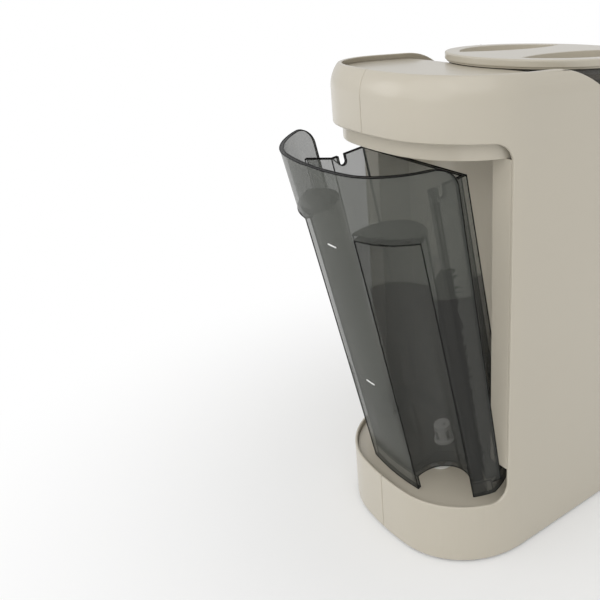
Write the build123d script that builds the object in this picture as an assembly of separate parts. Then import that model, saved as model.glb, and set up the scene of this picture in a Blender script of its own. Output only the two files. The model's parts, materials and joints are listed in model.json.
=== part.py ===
from build123d import *
from math import atan2, cos, pi, radians, sin, sqrt, tan
import os

# Countertop baby formula maker. Millimetres, +Z up, X across the machine, the water tank at +Y
# and the bottle recess at -Y. Every piece is built in the machine's own frame, where y = 0 is the
# front face of the tank bay's back wall, and is moved along Y only when it is written out, so that
# the finished model stands centred on its origin with its feet on z = 0.

# housing outline, seen from above
half_width = 73.0
rear_reach = 70.8
front_reach = 152.0
end_radius = 196.0
corner_radius = 57.0
wall = 2.0
fit_gap = 0.1

# heights of the housing
foot_height = 1.5
cover_lift = 1.5
cover_thickness = 2.5
tray_rim = 42.4
head_under = 267.2
head_height = 34.1
blend_height = 14.0
blend_radius = 22.0

# tank bay
bay_edge = 24.5
bay_corner = 11.0
bay_half_width = 55.0
bay_step = 64.0
collar_inset = 5.5
collar_drop = 9.4
liner = 2.0
tray_recess = 3.0
tray_thickness = 2.5
tray_post_radius = 4.0
latch_slot_height = 5.0
latch_slot_drop = 27.2

# bottle recess and the front of the machine
recess_behind_spout = 38.0
recess_floor = 24.0
recess_headroom = 35.0
recess_corner = 14.0

# scooped top edge that bares the powder hopper
scoop_start = -9.0
scoop_run = 71.0
scoop_drop = 24.4
deck_drop = 3.6
deck_thickness = 2.2

# feet and base screws
foot_radius = 9.0
foot_x = 46.0
foot_inset = 30.0
foot_rear_inset = 32.8
boss_radius = 4.0
boss_pilot = 1.5
boss_height = 5.2
boss_front_inset = 56.0
boss_ys = (boss_front_inset - front_reach, -48.0, 6.0)
screw_head_radius = 3.0
screw_head_height = 1.6
screw_gap = 0.2
thread_gap = 0.05

# water tank, sizes with the tank upright
tank_base = 40.2
tank_gap = 8.1
tank_wall = 2.2
tank_draft = 1.2
tank_bottom_inset = 4.8
tank_rim_corner = 50.0
box_half_width = 49.9
box_face = 6.65
box_drop = 18.0
jog_y = 30.5
jog_out_x = 64.5
jog_out_y = 38.4
ear_edge = 29.1
ear_round = 12.0
skirt_height = 9.0
skirt_half_width = 64.3
grip_x = 43.0
grip_y = 59.3
grip_radius = 19.4
grip_drop = 37.5
hook_slot_width = 5.0
hook_slot_depth = 6.6
hook_slot_y = 24.5
tilt = 10.54
pivot_y = 62.1
pivot_z = 72.9

# tank outlet valve and its socket
valve_x = -12.0
valve_y = 30.0
spigot_radius = 8.0
spigot_wall = 1.8
spigot_drop = 8.0
cage_radius = 5.6
cage_wall = 1.4
cage_height = 12.5
cage_flange = 1.2
cage_window = 3.0
seal_ledge = 1.0
plunger_radius = 1.6
valve_contact = 0.3
plunger_head_radius = 3.6
plunger_head_height = 1.4
seal_height = 1.6
seal_gap = 0.2
valve_lift = 3.0
spring_wire = 0.6
spring_radius = 3.0
spring_turns = 4
socket_radius = 7.4
socket_bore = 3.0
socket_pin_radius = 1.2
socket_tail = 9.0
seal_section = 1.2

# powder hopper and its lid
hopper_front_gap = 23.4
hopper_rear_gap = 8.6
hopper_wall = 2.0
hopper_sink = 42.2
hopper_floor = 3.0
rim_gap = 0.2
ledge_width = 1.2
outlet_inset = 16.6
outlet_radius = 12.0
lid_overhang = 2.6
lid_thickness = 5.7
lid_gap = 0.3
lid_step = 1.2
lid_step_inset = 1.0
plug_depth = 7.0
plug_wall = 2.0
grip_arc_inset = 7.0
grip_bar_waist = 16.6
grip_bar_arc = 101.2
grip_pocket_depth = 8.0
grip_pocket_wall = 1.6
lid_clear = 0.1

# powder dosing
wheel_gap = 1.2
wheel_height = 13.0
wheel_pockets = 6
wheel_pocket_radius = 10.5
stack_gap = 0.5
scraper_thickness = 2.0
spindle_radius = 9.0
spindle_top_radius = 4.0
spindle_clear = 16.6
agitator_gap = 6.0
agitator_bar = 4.0
agitator_rise = 24.0
run_gap = 0.08
dog_across = 8.0
dog_height = 6.5
dog_gap = 0.3

# drive under the hopper
seat_floor = 3.0
seat_wall = 2.0
seat_gap = 1.0
seat_drop = 32.2
gear_module = 1.0
drive_teeth = 54
pinion_teeth = 15
gear_height = 6.0
gear_backlash = 0.25
gear_gap = 2.0
plate_thickness = 3.0
shaft_radius = 4.0
pinion_bore_radius = 2.0
motor_radius = 17.0
motor_length = 52.0
motor_collar_radius = 6.0
motor_collar_height = 1.6
hub_radius = 9.0

# powder chute, water nozzle and mixing funnel
chute_wall = 1.6
funnel_mouth = 29.0
funnel_spout = 7.0
funnel_wall = 1.8
funnel_drop = 7.0
drawer_half_width = 34.0
drawer_rail = 2.4
rail_gap = 0.2
rail_height = 1.8
drawer_height = 14.0
drawer_gap = 0.4
nozzle_x = 18.0
nozzle_radius = 3.0
nozzle_bore = 1.2
nozzle_drop = 3.5

# control panel
panel_half_width = 36.0
panel_lift = 24.0
panel_height = 46.0
panel_thickness = 2.4
panel_gap = 0.2
panel_rim = 2.0
panel_lap = 3.0
window_half_width = 25.0
window_height = 17.0
window_rise = 32.0
button_rise = 11.0
button_pitch = 16.0
button_radius = 5.4
button_gap = 0.3
button_proud = 0.7
button_travel = 0.9
button_stem = 2.0
button_flange = 1.4
button_flange_thickness = 1.2
board_thickness = 1.6
board_back = 14.0
switch_size = 6.0
switch_height = 3.6
switch_gap = 0.2
switch_plunger_radius = 1.5

# pocket in the side with the mains switch and the mains inlet
pocket_depth = 3.2
pocket_y = -42.0
pocket_half_y = 11.0
pocket_bottom = 12.5
pocket_top = 76.0
pocket_corner = 4.0
rocker_y = pocket_y
rocker_z = 62.0
rocker_half_y = 5.6
rocker_half_z = 9.0
rocker_depth = 7.0
rocker_swing = 6.0
frame_border = 2.2
frame_depth = 14.0
frame_wall = 1.2
frame_lip = 1.2
rocker_gap = 0.4
rocker_sink = 1.5
rocker_rise = 3.2
rocker_dish = 1.2
rocker_root = 3.0
gland_y = pocket_y
gland_z = 22.0
gland_radius = 6.0
gland_bore = 3.3
gland_flange = 2.0
gland_lip = 2.4
gland_length = 12.0

# drip tray in the base
drip_inset = 8.0
drip_back_gap = 6.0
drip_depth = 11.0
drip_wall = 1.6
drip_clear = 0.4
drip_lip = 2.5
grate_thickness = 2.2
grate_slot_width = 4.5
grate_slot_pitch = 9.5
grate_border = 7.0
deck_plate = 2.4

# chassis and what it carries
chassis_half_width = 50.0
chassis_y = -7.0
chassis_thickness = 2.5
chassis_foot = 56.0
pump_y = -42.0
pump_z = 30.0
pump_radius = 13.0
pump_length = 56.0
cradle_width = 8.0
cradle_x = 18.0
heater_x = 28.0
heater_width = 34.0
heater_depth = 20.0
heater_bottom = 80.0
heater_headroom = 11.0
heater_port = 10.0
heater_standoff = 3.0
cutout_radius = 7.0
cutout_height = 5.0
power_board_x = -26.0
power_board_width = 40.0
power_board_bottom = 60.0
power_board_headroom = 19.0
part_margin = 5.0
coil_width = 18.0
coil_depth = 14.0
coil_height = 24.0
relay_width = 9.0
relay_depth = 11.0
relay_height = 16.0
can_radius = 6.0
can_length = 12.0
can_rise = 46.0
terminal_width = 12.0
terminal_depth = 9.0
terminal_height = 26.0
terminal_rise = 40.0
spacer_radius = 2.4
spacer_length = 6.0
hose_radius = 3.2
hose_bore = 1.9
hose_bend = 6.0
hose_gap = 0.2

# sizes and places that follow
hopper_radius = (front_reach - hopper_front_gap - hopper_rear_gap) / 2
hopper_y = -hopper_rear_gap - hopper_radius
lid_radius = hopper_radius + lid_overhang
grip_arc_radius = hopper_radius - grip_arc_inset
wheel_radius = hopper_radius - hopper_wall - ledge_width - wheel_gap
agitator_reach = hopper_radius - hopper_wall - agitator_gap
outlet_offset = hopper_radius - outlet_inset
outlet_y = hopper_y - outlet_offset
recess_back = outlet_y + recess_behind_spout
drip_back = recess_back - drip_back_gap
foot_ys = (foot_inset - front_reach, rear_reach - foot_rear_inset)

# heights that follow
cover_bottom = foot_height + cover_lift
cover_top = cover_bottom + cover_thickness
head_top = head_under + head_height
latch_slot_z = head_under - latch_slot_drop
tray_floor = tray_rim - tray_recess
tray_under = tray_floor - tray_thickness
collar_bottom = head_under - collar_drop
tank_top = head_under - tank_gap
tank_height = tank_top - tank_base
box_height = tank_height - box_drop
grip_height = tank_height - grip_drop
hopper_bottom = head_under - hopper_sink
lid_bottom = head_top - deck_drop + lid_gap
lid_top = lid_bottom + lid_thickness
hopper_top = lid_bottom - rim_gap
spindle_top = hopper_top - spindle_clear
recess_ceiling = hopper_bottom - recess_headroom
rail_bottom = recess_ceiling + liner + rail_gap
rail_top = rail_bottom + rail_height
panel_bottom = recess_ceiling + panel_lift
window_z = panel_bottom + window_rise
button_z = panel_bottom + button_rise
seat_top = head_top - seat_drop
seat_bottom = hopper_bottom - seat_floor
gear_top = seat_bottom - gear_gap
gear_bottom = gear_top - gear_height
plate_top = gear_bottom - gear_gap
plate_bottom = plate_top - plate_thickness
heater_height = plate_bottom - motor_length - heater_headroom - heater_bottom
power_board_height = plate_bottom - motor_length - power_board_headroom - power_board_bottom
wheel_bottom = hopper_bottom + hopper_floor + stack_gap
wheel_top = wheel_bottom + wheel_height
scraper_bottom = wheel_top + stack_gap
scraper_top = scraper_bottom + scraper_thickness
motor_y = hopper_y + gear_module * (drive_teeth + pinion_teeth) / 2
spigot_bottom = tank_base + skirt_height - spigot_drop
chassis_back = chassis_y - chassis_thickness
drip_rim = recess_floor
drip_bottom = drip_rim - drip_depth
inner = wall + fit_gap
far = 4 * (front_reach + rear_reach)  # beyond the model on every side
tank_top_reach = rear_reach - tank_bottom_inset + tank_height * tan(radians(tank_draft))

# the rearmost point is the rim of the tilted tank, and the origin lies midway along the model
tilt_reach = (
    pivot_y
    + (tank_top_reach - pivot_y) * cos(radians(tilt))
    + (tank_top - pivot_z) * sin(radians(tilt))
)
origin_y = (tilt_reach - front_reach - button_proud) / 2


def block(x, y, z):
    # a box between two limits on each axis
    return Pos((x[0] + x[1]) / 2, (y[0] + y[1]) / 2, (z[0] + z[1]) / 2) * Box(
        x[1] - x[0], y[1] - y[0], z[1] - z[0]
    )


def between(y0, y1):
    # everything between two places along y
    return block((-far, far), (y0, y1), (-far, far))


def disc(x, y, radius, z0, z1):
    return Pos(x, y, (z0 + z1) / 2) * Cylinder(radius, z1 - z0)


def rod_x(y, z, radius, x0, x1):
    return Pos((x0 + x1) / 2, y, z) * Rot(0, 90, 0) * Cylinder(radius, abs(x1 - x0))


def rod_y(x, z, radius, y0, y1):
    return Pos(x, (y0 + y1) / 2, z) * Rot(90, 0, 0) * Cylinder(radius, abs(y1 - y0))


def outline(inset=0.0, full_corner=corner_radius):
    # straight sides closed by a broad arc at each end, with a tighter arc at each corner
    side = half_width - inset
    corner = full_corner - inset
    corner_x = half_width - full_corner
    rise = sqrt((end_radius - full_corner) ** 2 - corner_x**2)
    lean = atan2(rise, corner_x)

    def half_end(reach, sign):
        corner_y = reach - end_radius + rise
        start = (side, sign * corner_y)
        middle = (corner_x + corner * cos(lean / 2), sign * (corner_y + corner * sin(lean / 2)))
        meet = (corner_x + corner * cos(lean), sign * (corner_y + corner * sin(lean)))
        return start, middle, meet, (0, sign * (reach - inset))

    def flip(point):
        return (-point[0], point[1])

    edges = []
    for reach, sign in ((rear_reach, 1), (front_reach, -1)):
        start, middle, meet, crown = half_end(reach, sign)
        edges += [
            ThreePointArc(start, middle, meet),
            ThreePointArc(meet, crown, flip(meet)),
            ThreePointArc(flip(meet), flip(middle), flip(start)),
        ]
    rear_start = half_end(rear_reach, 1)[0]
    front_start = half_end(front_reach, -1)[0]
    edges += [Line(front_start, rear_start), Line(flip(rear_start), flip(front_start))]
    return make_face(edges)


def end_sag(x, inset):
    # how far the outline, drawn in by inset, has curved back from its crown at x
    corner_x = half_width - corner_radius
    centres = end_radius - corner_radius
    radius, corner = end_radius - inset, corner_radius - inset
    if abs(x) * centres <= corner_x * radius:
        return radius - sqrt(radius**2 - x**2)
    return radius - sqrt(centres**2 - corner_x**2) - sqrt(corner**2 - (abs(x) - corner_x) ** 2)


def prism(inset, z0, z1):
    return Pos(0, 0, z0) * extrude(outline(inset), amount=z1 - z0)


def body_form(inset, z0):
    # the outline raised to the head's rim, with a large round at the top that the rim cuts short
    top = head_top - blend_height + blend_radius - inset
    form = prism(inset, z0, top)
    form = fillet(form.edges().group_by(Axis.Z)[-1], blend_radius - inset)
    return form & block((-far, far), (-far, far), (z0, head_top))


def profile(face, reach=far):
    # a (y, z) face carried across the whole width
    return extrude(Plane.YZ * face, amount=reach, both=True)


def window_face(y, z, corner):
    # a rectangle in (y, z) with rounded corners
    return Pos((y[0] + y[1]) / 2, (z[0] + z[1]) / 2) * RectangleRounded(
        y[1] - y[0], z[1] - z[0], corner
    )


def above_scoop(drop, ceiling=far):
    # everything above the scooped top edge, lowered by drop
    level = head_top - drop
    low = level - scoop_drop
    end = scoop_start - scoop_run
    curve = Spline((scoop_start, level), (end, low), tangents=[(-1, 0), (-1, 0)])
    sides = Polyline(
        (end, low), (-far, low), (-far, ceiling),
        (far, ceiling), (far, level), (scoop_start, level)
    )
    return profile(make_face([curve, sides]))


def housing_half(side):
    shell = body_form(0, foot_height) - body_form(wall, foot_height)
    rear = window_face((bay_edge, rear_reach + 60), (tray_rim, head_under), bay_corner)
    front = window_face((-front_reach - 60, recess_back), (recess_floor, recess_ceiling), recess_corner)
    shell -= profile(rear) + profile(front) + above_scoop(0)
    shell -= block(
        (-panel_half_width, panel_half_width),
        (-front_reach - 10, -front_reach + 30),
        (panel_bottom, panel_bottom + panel_height),
    )
    slot = drawer_half_width + drawer_gap
    shell -= block(
        (-slot, slot),
        (-front_reach - 10, -front_reach + 30),
        (recess_ceiling - 5, recess_ceiling + drawer_height + drawer_gap),
    )
    rail = drawer_half_width + drawer_rail + drawer_gap
    shell -= block(
        (-rail, rail),
        (-front_reach - 10, -front_reach + 30),
        (rail_bottom - drawer_gap, rail_top + drawer_gap),
    )
    boss_x = half_width - wall - boss_radius + fit_gap
    for y in boss_ys:
        shell += disc(boss_x, y, boss_radius, cover_top, cover_top + boss_height)
        shell += disc(-boss_x, y, boss_radius, cover_top, cover_top + boss_height)
    for y in boss_ys:
        for x in (-boss_x, boss_x):
            shell -= disc(x, y, boss_pilot, cover_top - 1, cover_top + boss_height + 1)
    reach = half_width + 50
    if side > 0:
        shell += side_pocket(wall, half_width - pocket_depth - wall)
        shell -= side_pocket(0, half_width - pocket_depth)
        shell -= rocker_opening()
        shell -= rod_x(gland_y, gland_z, gland_radius, half_width - 20, half_width + 20)
    keep = block((0, side * reach) if side > 0 else (-reach, 0), (-far, far), (-far, far))
    return shell & keep


def side_pocket(margin, floor_x):
    y = (pocket_y - pocket_half_y - margin, pocket_y + pocket_half_y + margin)
    z = (pocket_bottom - margin, pocket_top + margin)
    solid = profile(window_face(y, z, pocket_corner + margin))
    reach = half_width if margin else half_width + 10
    return solid & block((floor_x, reach), (-far, far), (-far, far))


def rocker_opening():
    return block(
        (half_width - 20, half_width + 20),
        (rocker_y - rocker_half_y, rocker_y + rocker_half_y),
        (rocker_z - rocker_half_z, rocker_z + rocker_half_z),
    )


def bottom_cover():
    cover = prism(inner, cover_bottom, cover_top)
    boss_x = half_width - wall - boss_radius + fit_gap
    for y in boss_ys:
        for x in (-boss_x, boss_x):
            cover -= disc(x, y, boss_pilot + screw_gap, cover_bottom - 1, cover_top + 1)
            sunk = cover_bottom + screw_head_height
            cover -= disc(x, y, screw_head_radius + screw_gap, cover_bottom - 1, sunk)
    return cover


def base_screws():
    boss_x = half_width - wall - boss_radius + fit_gap
    screws = []
    for y in boss_ys:
        for x in (-boss_x, boss_x):
            head = disc(x, y, screw_head_radius, cover_bottom, cover_bottom + screw_head_height)
            head -= block((x - 2, x + 2), (y - 0.4, y + 0.4), (cover_bottom - 1, cover_bottom + 0.7))
            shank_top = cover_top + boss_height - 1
            screws.append(
                head + disc(x, y, boss_pilot - thread_gap, cover_bottom + 1, shank_top)
            )
    return screws


def rubber_feet():
    feet = []
    for y in foot_ys:
        for x in (-foot_x, foot_x):
            foot = disc(x, y, foot_radius, 0, cover_bottom)
            feet.append(chamfer(foot.edges().group_by(Axis.Z)[0], 0.8))
    return feet


def tank_tray():
    # recessed floor under the tank, on posts that stand on the bottom cover
    rear = between(-liner, far)
    tray = prism(inner, tray_under, tray_floor) & rear
    for x, y in ((-40, 10), (40, 10), (0, 52)):
        tray += disc(x, y, tray_post_radius, cover_top, tray_under + 1)
    tray -= disc(valve_x, valve_y, socket_radius - 2 + fit_gap, tray_under - 1, tray_floor + 1)
    return tray


def tank_socket():
    # seat for the tank's outlet, with the pin that opens the valve held on a cross bar
    tail = tray_under - socket_tail
    top = tank_base + skirt_height - spigot_drop - 0.3
    collar = disc(valve_x, valve_y, socket_radius, tray_floor, top - seal_section)
    stem = disc(valve_x, valve_y, socket_radius - 2, tail + 3, tray_floor + 0.2)
    barb = disc(valve_x, valve_y, hose_bore, tail - 8, tail + 4)
    body = collar + stem + barb
    body -= disc(valve_x, valve_y, socket_bore, tail + 5, top + 5)
    body -= disc(valve_x, valve_y, hose_bore - 0.9, tail - 9, tail + 6)
    bar_top = tray_floor
    body += block(
        (valve_x - socket_bore - 1, valve_x + socket_bore + 1),
        (valve_y - socket_pin_radius, valve_y + socket_pin_radius),
        (bar_top - 2, bar_top),
    )
    pin_top = valve_bottom() - valve_contact + valve_lift
    return body + disc(valve_x, valve_y, socket_pin_radius, bar_top - 1, pin_top)


def valve_bottom():
    # lower end of the plunger's stem with the tank upright and the valve shut
    return spigot_bottom + 1.0


def socket_seal():
    top = spigot_bottom - 0.3
    ring = disc(valve_x, valve_y, socket_radius, top - seal_section, top)
    return ring - disc(valve_x, valve_y, socket_bore + 1, top - 5, top + 5)


def tank_bay_liner():
    # channel behind the tank with a land on each side of it, wider at the foot for the tank's skirt
    span = bay_half_width + liner
    low, high = tray_floor, collar_bottom
    body = block((-span, span), (-liner, 0), (bay_step, high))
    body += block((-half_width, half_width), (-liner, 0), (low, bay_step + liner))
    for s in (-1, 1):
        x = sorted((s * bay_half_width, s * span))
        body += block(x, (-liner, bay_edge), (bay_step, high))
        x = sorted((s * bay_half_width, s * half_width))
        body += block(x, (bay_edge - liner, bay_edge), (bay_step, high))
        body += block(x, (-liner, bay_edge), (bay_step, bay_step + liner))
    body &= prism(inner, low, high)
    for s in (-1, 1):
        x = sorted((s * (bay_half_width - 1), s * (bay_half_width + 1)))
        slot = (latch_slot_z, latch_slot_z + latch_slot_height)
        body -= block(x, (bay_edge - 6, bay_edge - 3), slot)
    return body


def bay_collar():
    # the head's underside, and the plug inside it that the tank's rim comes up round
    rear = between(-liner, far)
    plate = prism(inner, head_under, head_under + liner)
    plug = prism(collar_inset, collar_bottom, head_under + liner)
    plug -= prism(collar_inset + liner, collar_bottom + liner, head_under + liner + 1)
    plate -= prism(collar_inset + liner, head_under - 1, head_under + liner + 1)
    return (plate + plug) & rear


def top_deck():
    # sheet that closes the top, following the scoop a little below the housing's edge
    band = above_scoop(deck_drop + deck_thickness) - above_scoop(deck_drop)
    deck = band & body_form(inner, head_top - 60)
    hole = hopper_radius + seat_gap
    return deck - disc(0, hopper_y, hole, head_top - 90, head_top + 20)


def seat_ring_radius():
    return hopper_radius + seat_gap


def hopper_seat():
    # cup that the hopper stands in, on a flange that spans the housing
    ring_radius = seat_ring_radius()
    seat = disc(0, hopper_y, ring_radius + seat_wall, seat_bottom, seat_top)
    seat -= disc(0, hopper_y, ring_radius, hopper_bottom, seat_top + 1)
    seat -= disc(0, hopper_y, hub_radius + 0.5, seat_bottom - 1, hopper_bottom + 1)
    seat -= disc(0, outlet_y, outlet_radius, seat_bottom - 1, hopper_bottom + 1)
    for x, y in seat_posts():
        seat += disc(x, y, boss_radius, plate_top, seat_bottom + 0.5)
    return seat


def seat_posts():
    reach = seat_ring_radius() - boss_radius
    return [
        (reach * cos(radians(a)), hopper_y + reach * sin(radians(a))) for a in (20, 160, 215, 325)
    ]


def drive_plate():
    # shelf across the housing that carries the drive and the hopper's seat
    span = between(-front_reach + board_back + 6, -liner - fit_gap)
    plate = prism(inner, plate_bottom, plate_top) & span
    plate -= disc(0, motor_y, motor_collar_radius + fit_gap, plate_bottom - 1, plate_top + 1)
    plate -= disc(0, hopper_y, shaft_radius + run_gap, plate_bottom - 1, plate_top + 1)
    plate += disc(0, hopper_y, hub_radius, plate_bottom - 10, plate_bottom + 1)
    plate -= disc(0, hopper_y, shaft_radius + run_gap, plate_bottom - 11, plate_top + 1)
    chute = outlet_radius + chute_wall + fit_gap
    plate -= disc(0, outlet_y, chute, plate_bottom - 1, plate_top + 1)
    plate -= disc(nozzle_x, outlet_y, nozzle_radius + fit_gap, plate_bottom - 1, plate_top + 1)
    hose_x, hose_y, reach = heater_x + heater_port, heater_middle_y(), hose_radius + 2 * hose_gap
    return plate - block(
        (hose_x - reach, hose_x + reach), (hose_y - reach - hose_bend, hose_y + reach),
        (plate_bottom - 1, plate_top + 1),
    )


def gear(teeth, height):
    # straight-sided teeth, thinned by the backlash, one of them pointing along +Y
    pitch = gear_module * teeth / 2
    root, tip = pitch - 1.25 * gear_module, pitch + 0.95 * gear_module
    body = Cylinder(root, height)
    quarter = pi * gear_module / 4
    base_half = (quarter + 0.45 * gear_module) - gear_backlash / 2
    tip_half = (quarter - 0.40 * gear_module) - gear_backlash / 2
    tooth = make_face(
        Polyline(
            (-base_half, root - 0.3), (-tip_half, tip), (tip_half, tip), (base_half, root - 0.3),
            (-base_half, root - 0.3),
        )
    )
    tooth = Pos(0, 0, -height / 2) * extrude(tooth, amount=height)
    return body + [Rot(0, 0, 360 * i / teeth) * tooth for i in range(teeth)]


def drive_gear():
    # gear, its shaft down through the shelf, and the six-sided dog that turns the hopper's spindle
    middle = (gear_bottom + gear_top) / 2
    body = Pos(0, hopper_y, middle) * gear(drive_teeth, gear_height)
    body += disc(0, hopper_y, hub_radius - 1, gear_bottom - gear_gap + 0.2, hopper_bottom - 0.3)
    body += disc(0, hopper_y, shaft_radius, plate_bottom - 14, gear_bottom)
    dog = extrude(RegularPolygon(dog_across / 2, 6, major_radius=False), amount=dog_height + 1)
    return body + Pos(0, hopper_y, hopper_bottom - 1) * dog


def shaft_clip():
    z = plate_bottom - 10 - 0.3
    ring = disc(0, hopper_y, shaft_radius + 3, z - 1.2, z)
    return ring - disc(0, hopper_y, shaft_radius + thread_gap, z - 2, z + 1)


def motor_pinion():
    # half a tooth out of line, so that a gap of its faces the drive gear's tooth
    middle = (gear_bottom + gear_top) / 2
    turn = 180 / pinion_teeth if pinion_teeth % 2 == 0 else 0
    body = Pos(0, motor_y, middle) * Rot(0, 0, turn) * gear(pinion_teeth, gear_height + 1)
    return body - disc(0, motor_y, pinion_bore_radius, gear_bottom - 2, gear_top + 2)


def gear_motor():
    low = plate_bottom - motor_length
    body = disc(0, motor_y, motor_radius, low, plate_bottom)
    body += disc(0, motor_y, motor_collar_radius, plate_bottom - 1, plate_bottom + motor_collar_height)
    body += disc(0, motor_y, pinion_bore_radius - run_gap, plate_bottom, gear_top)
    body += disc(0, motor_y, motor_radius * 0.45, low - 2.5, low + 1)
    for x in (-7, 7):
        body += block((x - 0.4, x + 0.4), (motor_y - 1.5, motor_y + 1.5), (low - 6, low + 1))
    return body


def powder_hopper():
    inside = hopper_radius - hopper_wall
    body = disc(0, hopper_y, hopper_radius, hopper_bottom, hopper_top)
    body -= disc(0, hopper_y, inside, scraper_bottom, hopper_top + 1)
    body -= disc(0, hopper_y, inside - ledge_width, hopper_bottom + hopper_floor, scraper_bottom + 1)
    body -= disc(0, hopper_y, spindle_radius + run_gap, hopper_bottom - 1, hopper_bottom + 10)
    body -= disc(0, outlet_y, outlet_radius, hopper_bottom - 1, hopper_bottom + hopper_floor + 1)
    return body


def scraper_plate():
    # fixed plate over the outlet that levels each pocket, open towards the back
    radius = hopper_radius - hopper_wall - lid_clear
    plate = disc(0, hopper_y, radius, scraper_bottom, scraper_top)
    plate -= disc(0, hopper_y, spindle_top_radius + 1, scraper_bottom - 1, scraper_top + 1)
    opening = disc(0, hopper_y, wheel_radius - 3, scraper_bottom - 1, scraper_top + 1)
    opening -= disc(0, hopper_y, spindle_radius + 4, scraper_bottom - 2, scraper_top + 2)
    opening &= between(hopper_y + 6, far)
    return plate - opening


def dosing_wheel():
    wheel = disc(0, hopper_y, wheel_radius, wheel_bottom, wheel_top)
    for i in range(wheel_pockets):
        angle = radians(90 + 360 * i / wheel_pockets + 180 / wheel_pockets)
        x, y = outlet_offset * cos(angle), hopper_y + outlet_offset * sin(angle)
        wheel -= disc(x, y, wheel_pocket_radius, wheel_bottom - 1, wheel_top + 1)
    return wheel - disc(0, hopper_y, spindle_radius + thread_gap, wheel_bottom - 1, wheel_top + 1)


def hopper_spindle():
    # thick end through the hopper's floor and the wheel, with a six-sided socket for the dog
    body = disc(0, hopper_y, spindle_radius, hopper_bottom + 0.3, wheel_top)
    body += disc(0, hopper_y, spindle_radius + 2, hopper_bottom + hopper_floor + 0.1, wheel_bottom)
    body += disc(0, hopper_y, spindle_top_radius, wheel_top - 1, spindle_top)
    socket = extrude(
        RegularPolygon(dog_across / 2 + dog_gap, 6, major_radius=False), amount=dog_height + 1
    )
    return body - Pos(0, hopper_y, hopper_bottom) * socket


def agitator():
    # hub with two arms, each carrying an upright blade
    low = scraper_top + stack_gap
    body = disc(0, hopper_y, spindle_radius - 1, low, low + 8)
    body += block(
        (-agitator_reach, agitator_reach),
        (hopper_y - agitator_bar / 2, hopper_y + agitator_bar / 2),
        (low + 1, low + 1 + agitator_bar),
    )
    for s in (-1, 1):
        x = sorted((s * agitator_reach, s * (agitator_reach - agitator_bar)))
        y = (hopper_y - agitator_bar / 2, hopper_y + agitator_bar / 2)
        body += block(x, y, (low + 1, low + agitator_rise))
        x = sorted((s * agitator_reach, s * agitator_reach * 0.5))
        body += block(x, y, (low + agitator_rise - agitator_bar, low + agitator_rise))
    return body - disc(0, hopper_y, spindle_top_radius + thread_gap, low - 1, low + 20)


def hopper_lid():
    # disc with a stepped edge, a plug that drops into the hopper, and two half-moon finger pockets
    lid = disc(0, hopper_y, lid_radius, lid_bottom + lid_step, lid_top)
    lid = fillet(lid.edges().group_by(Axis.Z)[-1], 1.2)
    lid += disc(0, hopper_y, lid_radius - lid_step_inset, lid_bottom, lid_bottom + lid_step + 0.5)
    plug_radius = hopper_radius - hopper_wall - seal_section
    plug = disc(0, hopper_y, plug_radius, lid_bottom - plug_depth, lid_bottom + 0.5)
    plug -= disc(0, hopper_y, plug_radius - plug_wall, lid_bottom - plug_depth - 1, lid_bottom)
    pocket_floor = lid_top - grip_pocket_depth
    cups = finger_pockets(grip_pocket_wall, pocket_floor - grip_pocket_wall, lid_bottom + 0.5)
    return lid + plug + cups - finger_pockets(0, pocket_floor, lid_top + 1)


def finger_pockets(margin, z0, z1):
    # the two half-moons left between a circle and the waisted bar across it
    circle = disc(0, hopper_y, grip_arc_radius + margin, z0, z1)
    centre = grip_bar_waist + grip_bar_arc
    left = disc(-centre, hopper_y, grip_bar_arc + margin, z0, z1)
    right = disc(centre, hopper_y, grip_bar_arc + margin, z0, z1)
    return circle & (left + right)


def lid_seal():
    plug_radius = hopper_radius - hopper_wall - seal_section
    top = lid_bottom - seal_section
    ring = disc(0, hopper_y, hopper_radius - hopper_wall - lid_clear, top - 2 * seal_section, top)
    return ring - disc(0, hopper_y, plug_radius, top - 3, top + 1)


def powder_chute():
    low = recess_ceiling + drawer_height + drawer_gap + 1.0
    body = disc(0, outlet_y, outlet_radius + chute_wall, low, seat_bottom)
    return body - disc(0, outlet_y, outlet_radius, low - 1, seat_bottom + 1)


def water_nozzle():
    low = plate_bottom - nozzle_drop
    body = disc(nozzle_x, outlet_y, nozzle_radius, low, plate_top + 0.2)
    z = outlet_level()
    body += disc(nozzle_x, outlet_y, nozzle_radius + 1.4, plate_top, z + nozzle_radius)
    body += rod_x(outlet_y, z, hose_bore, nozzle_x, nozzle_x + 12)
    body -= rod_x(outlet_y, z, nozzle_bore, nozzle_x, nozzle_x + 13)
    return body - disc(nozzle_x, outlet_y, nozzle_bore, low - 1, z)


def mixing_funnel():
    # funnel hung in a drawer that slides out forwards on two rails
    low = recess_ceiling
    top = low + drawer_height
    spout_bottom = low - funnel_drop
    back = outlet_y + funnel_mouth + 3
    rail = drawer_half_width + drawer_rail
    length = (-front_reach - 5, back)
    drawer = block((-drawer_half_width, drawer_half_width), length, (low, rail_top))
    drawer += block((-rail, rail), length, (rail_bottom, rail_top))
    drawer += block(
        (-drawer_half_width, drawer_half_width), (-front_reach - 5, -front_reach + 8), (low, top)
    )
    drawer += disc(0, outlet_y, funnel_mouth + funnel_wall, low, top - 2)
    drawer &= prism(0, low, top)
    cone_height = top - 1 - low
    drawer -= Pos(0, outlet_y, low + 1 + cone_height / 2) * Cone(
        funnel_spout - funnel_wall, funnel_mouth, cone_height
    )
    drawer += disc(0, outlet_y, funnel_spout, spout_bottom, low + 1)
    drawer -= disc(0, outlet_y, funnel_spout - funnel_wall, spout_bottom - 1, low + 2)
    pull = rod_y(0, low + 1, 12, -front_reach - 5, -front_reach + 2)
    return drawer - pull


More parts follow.
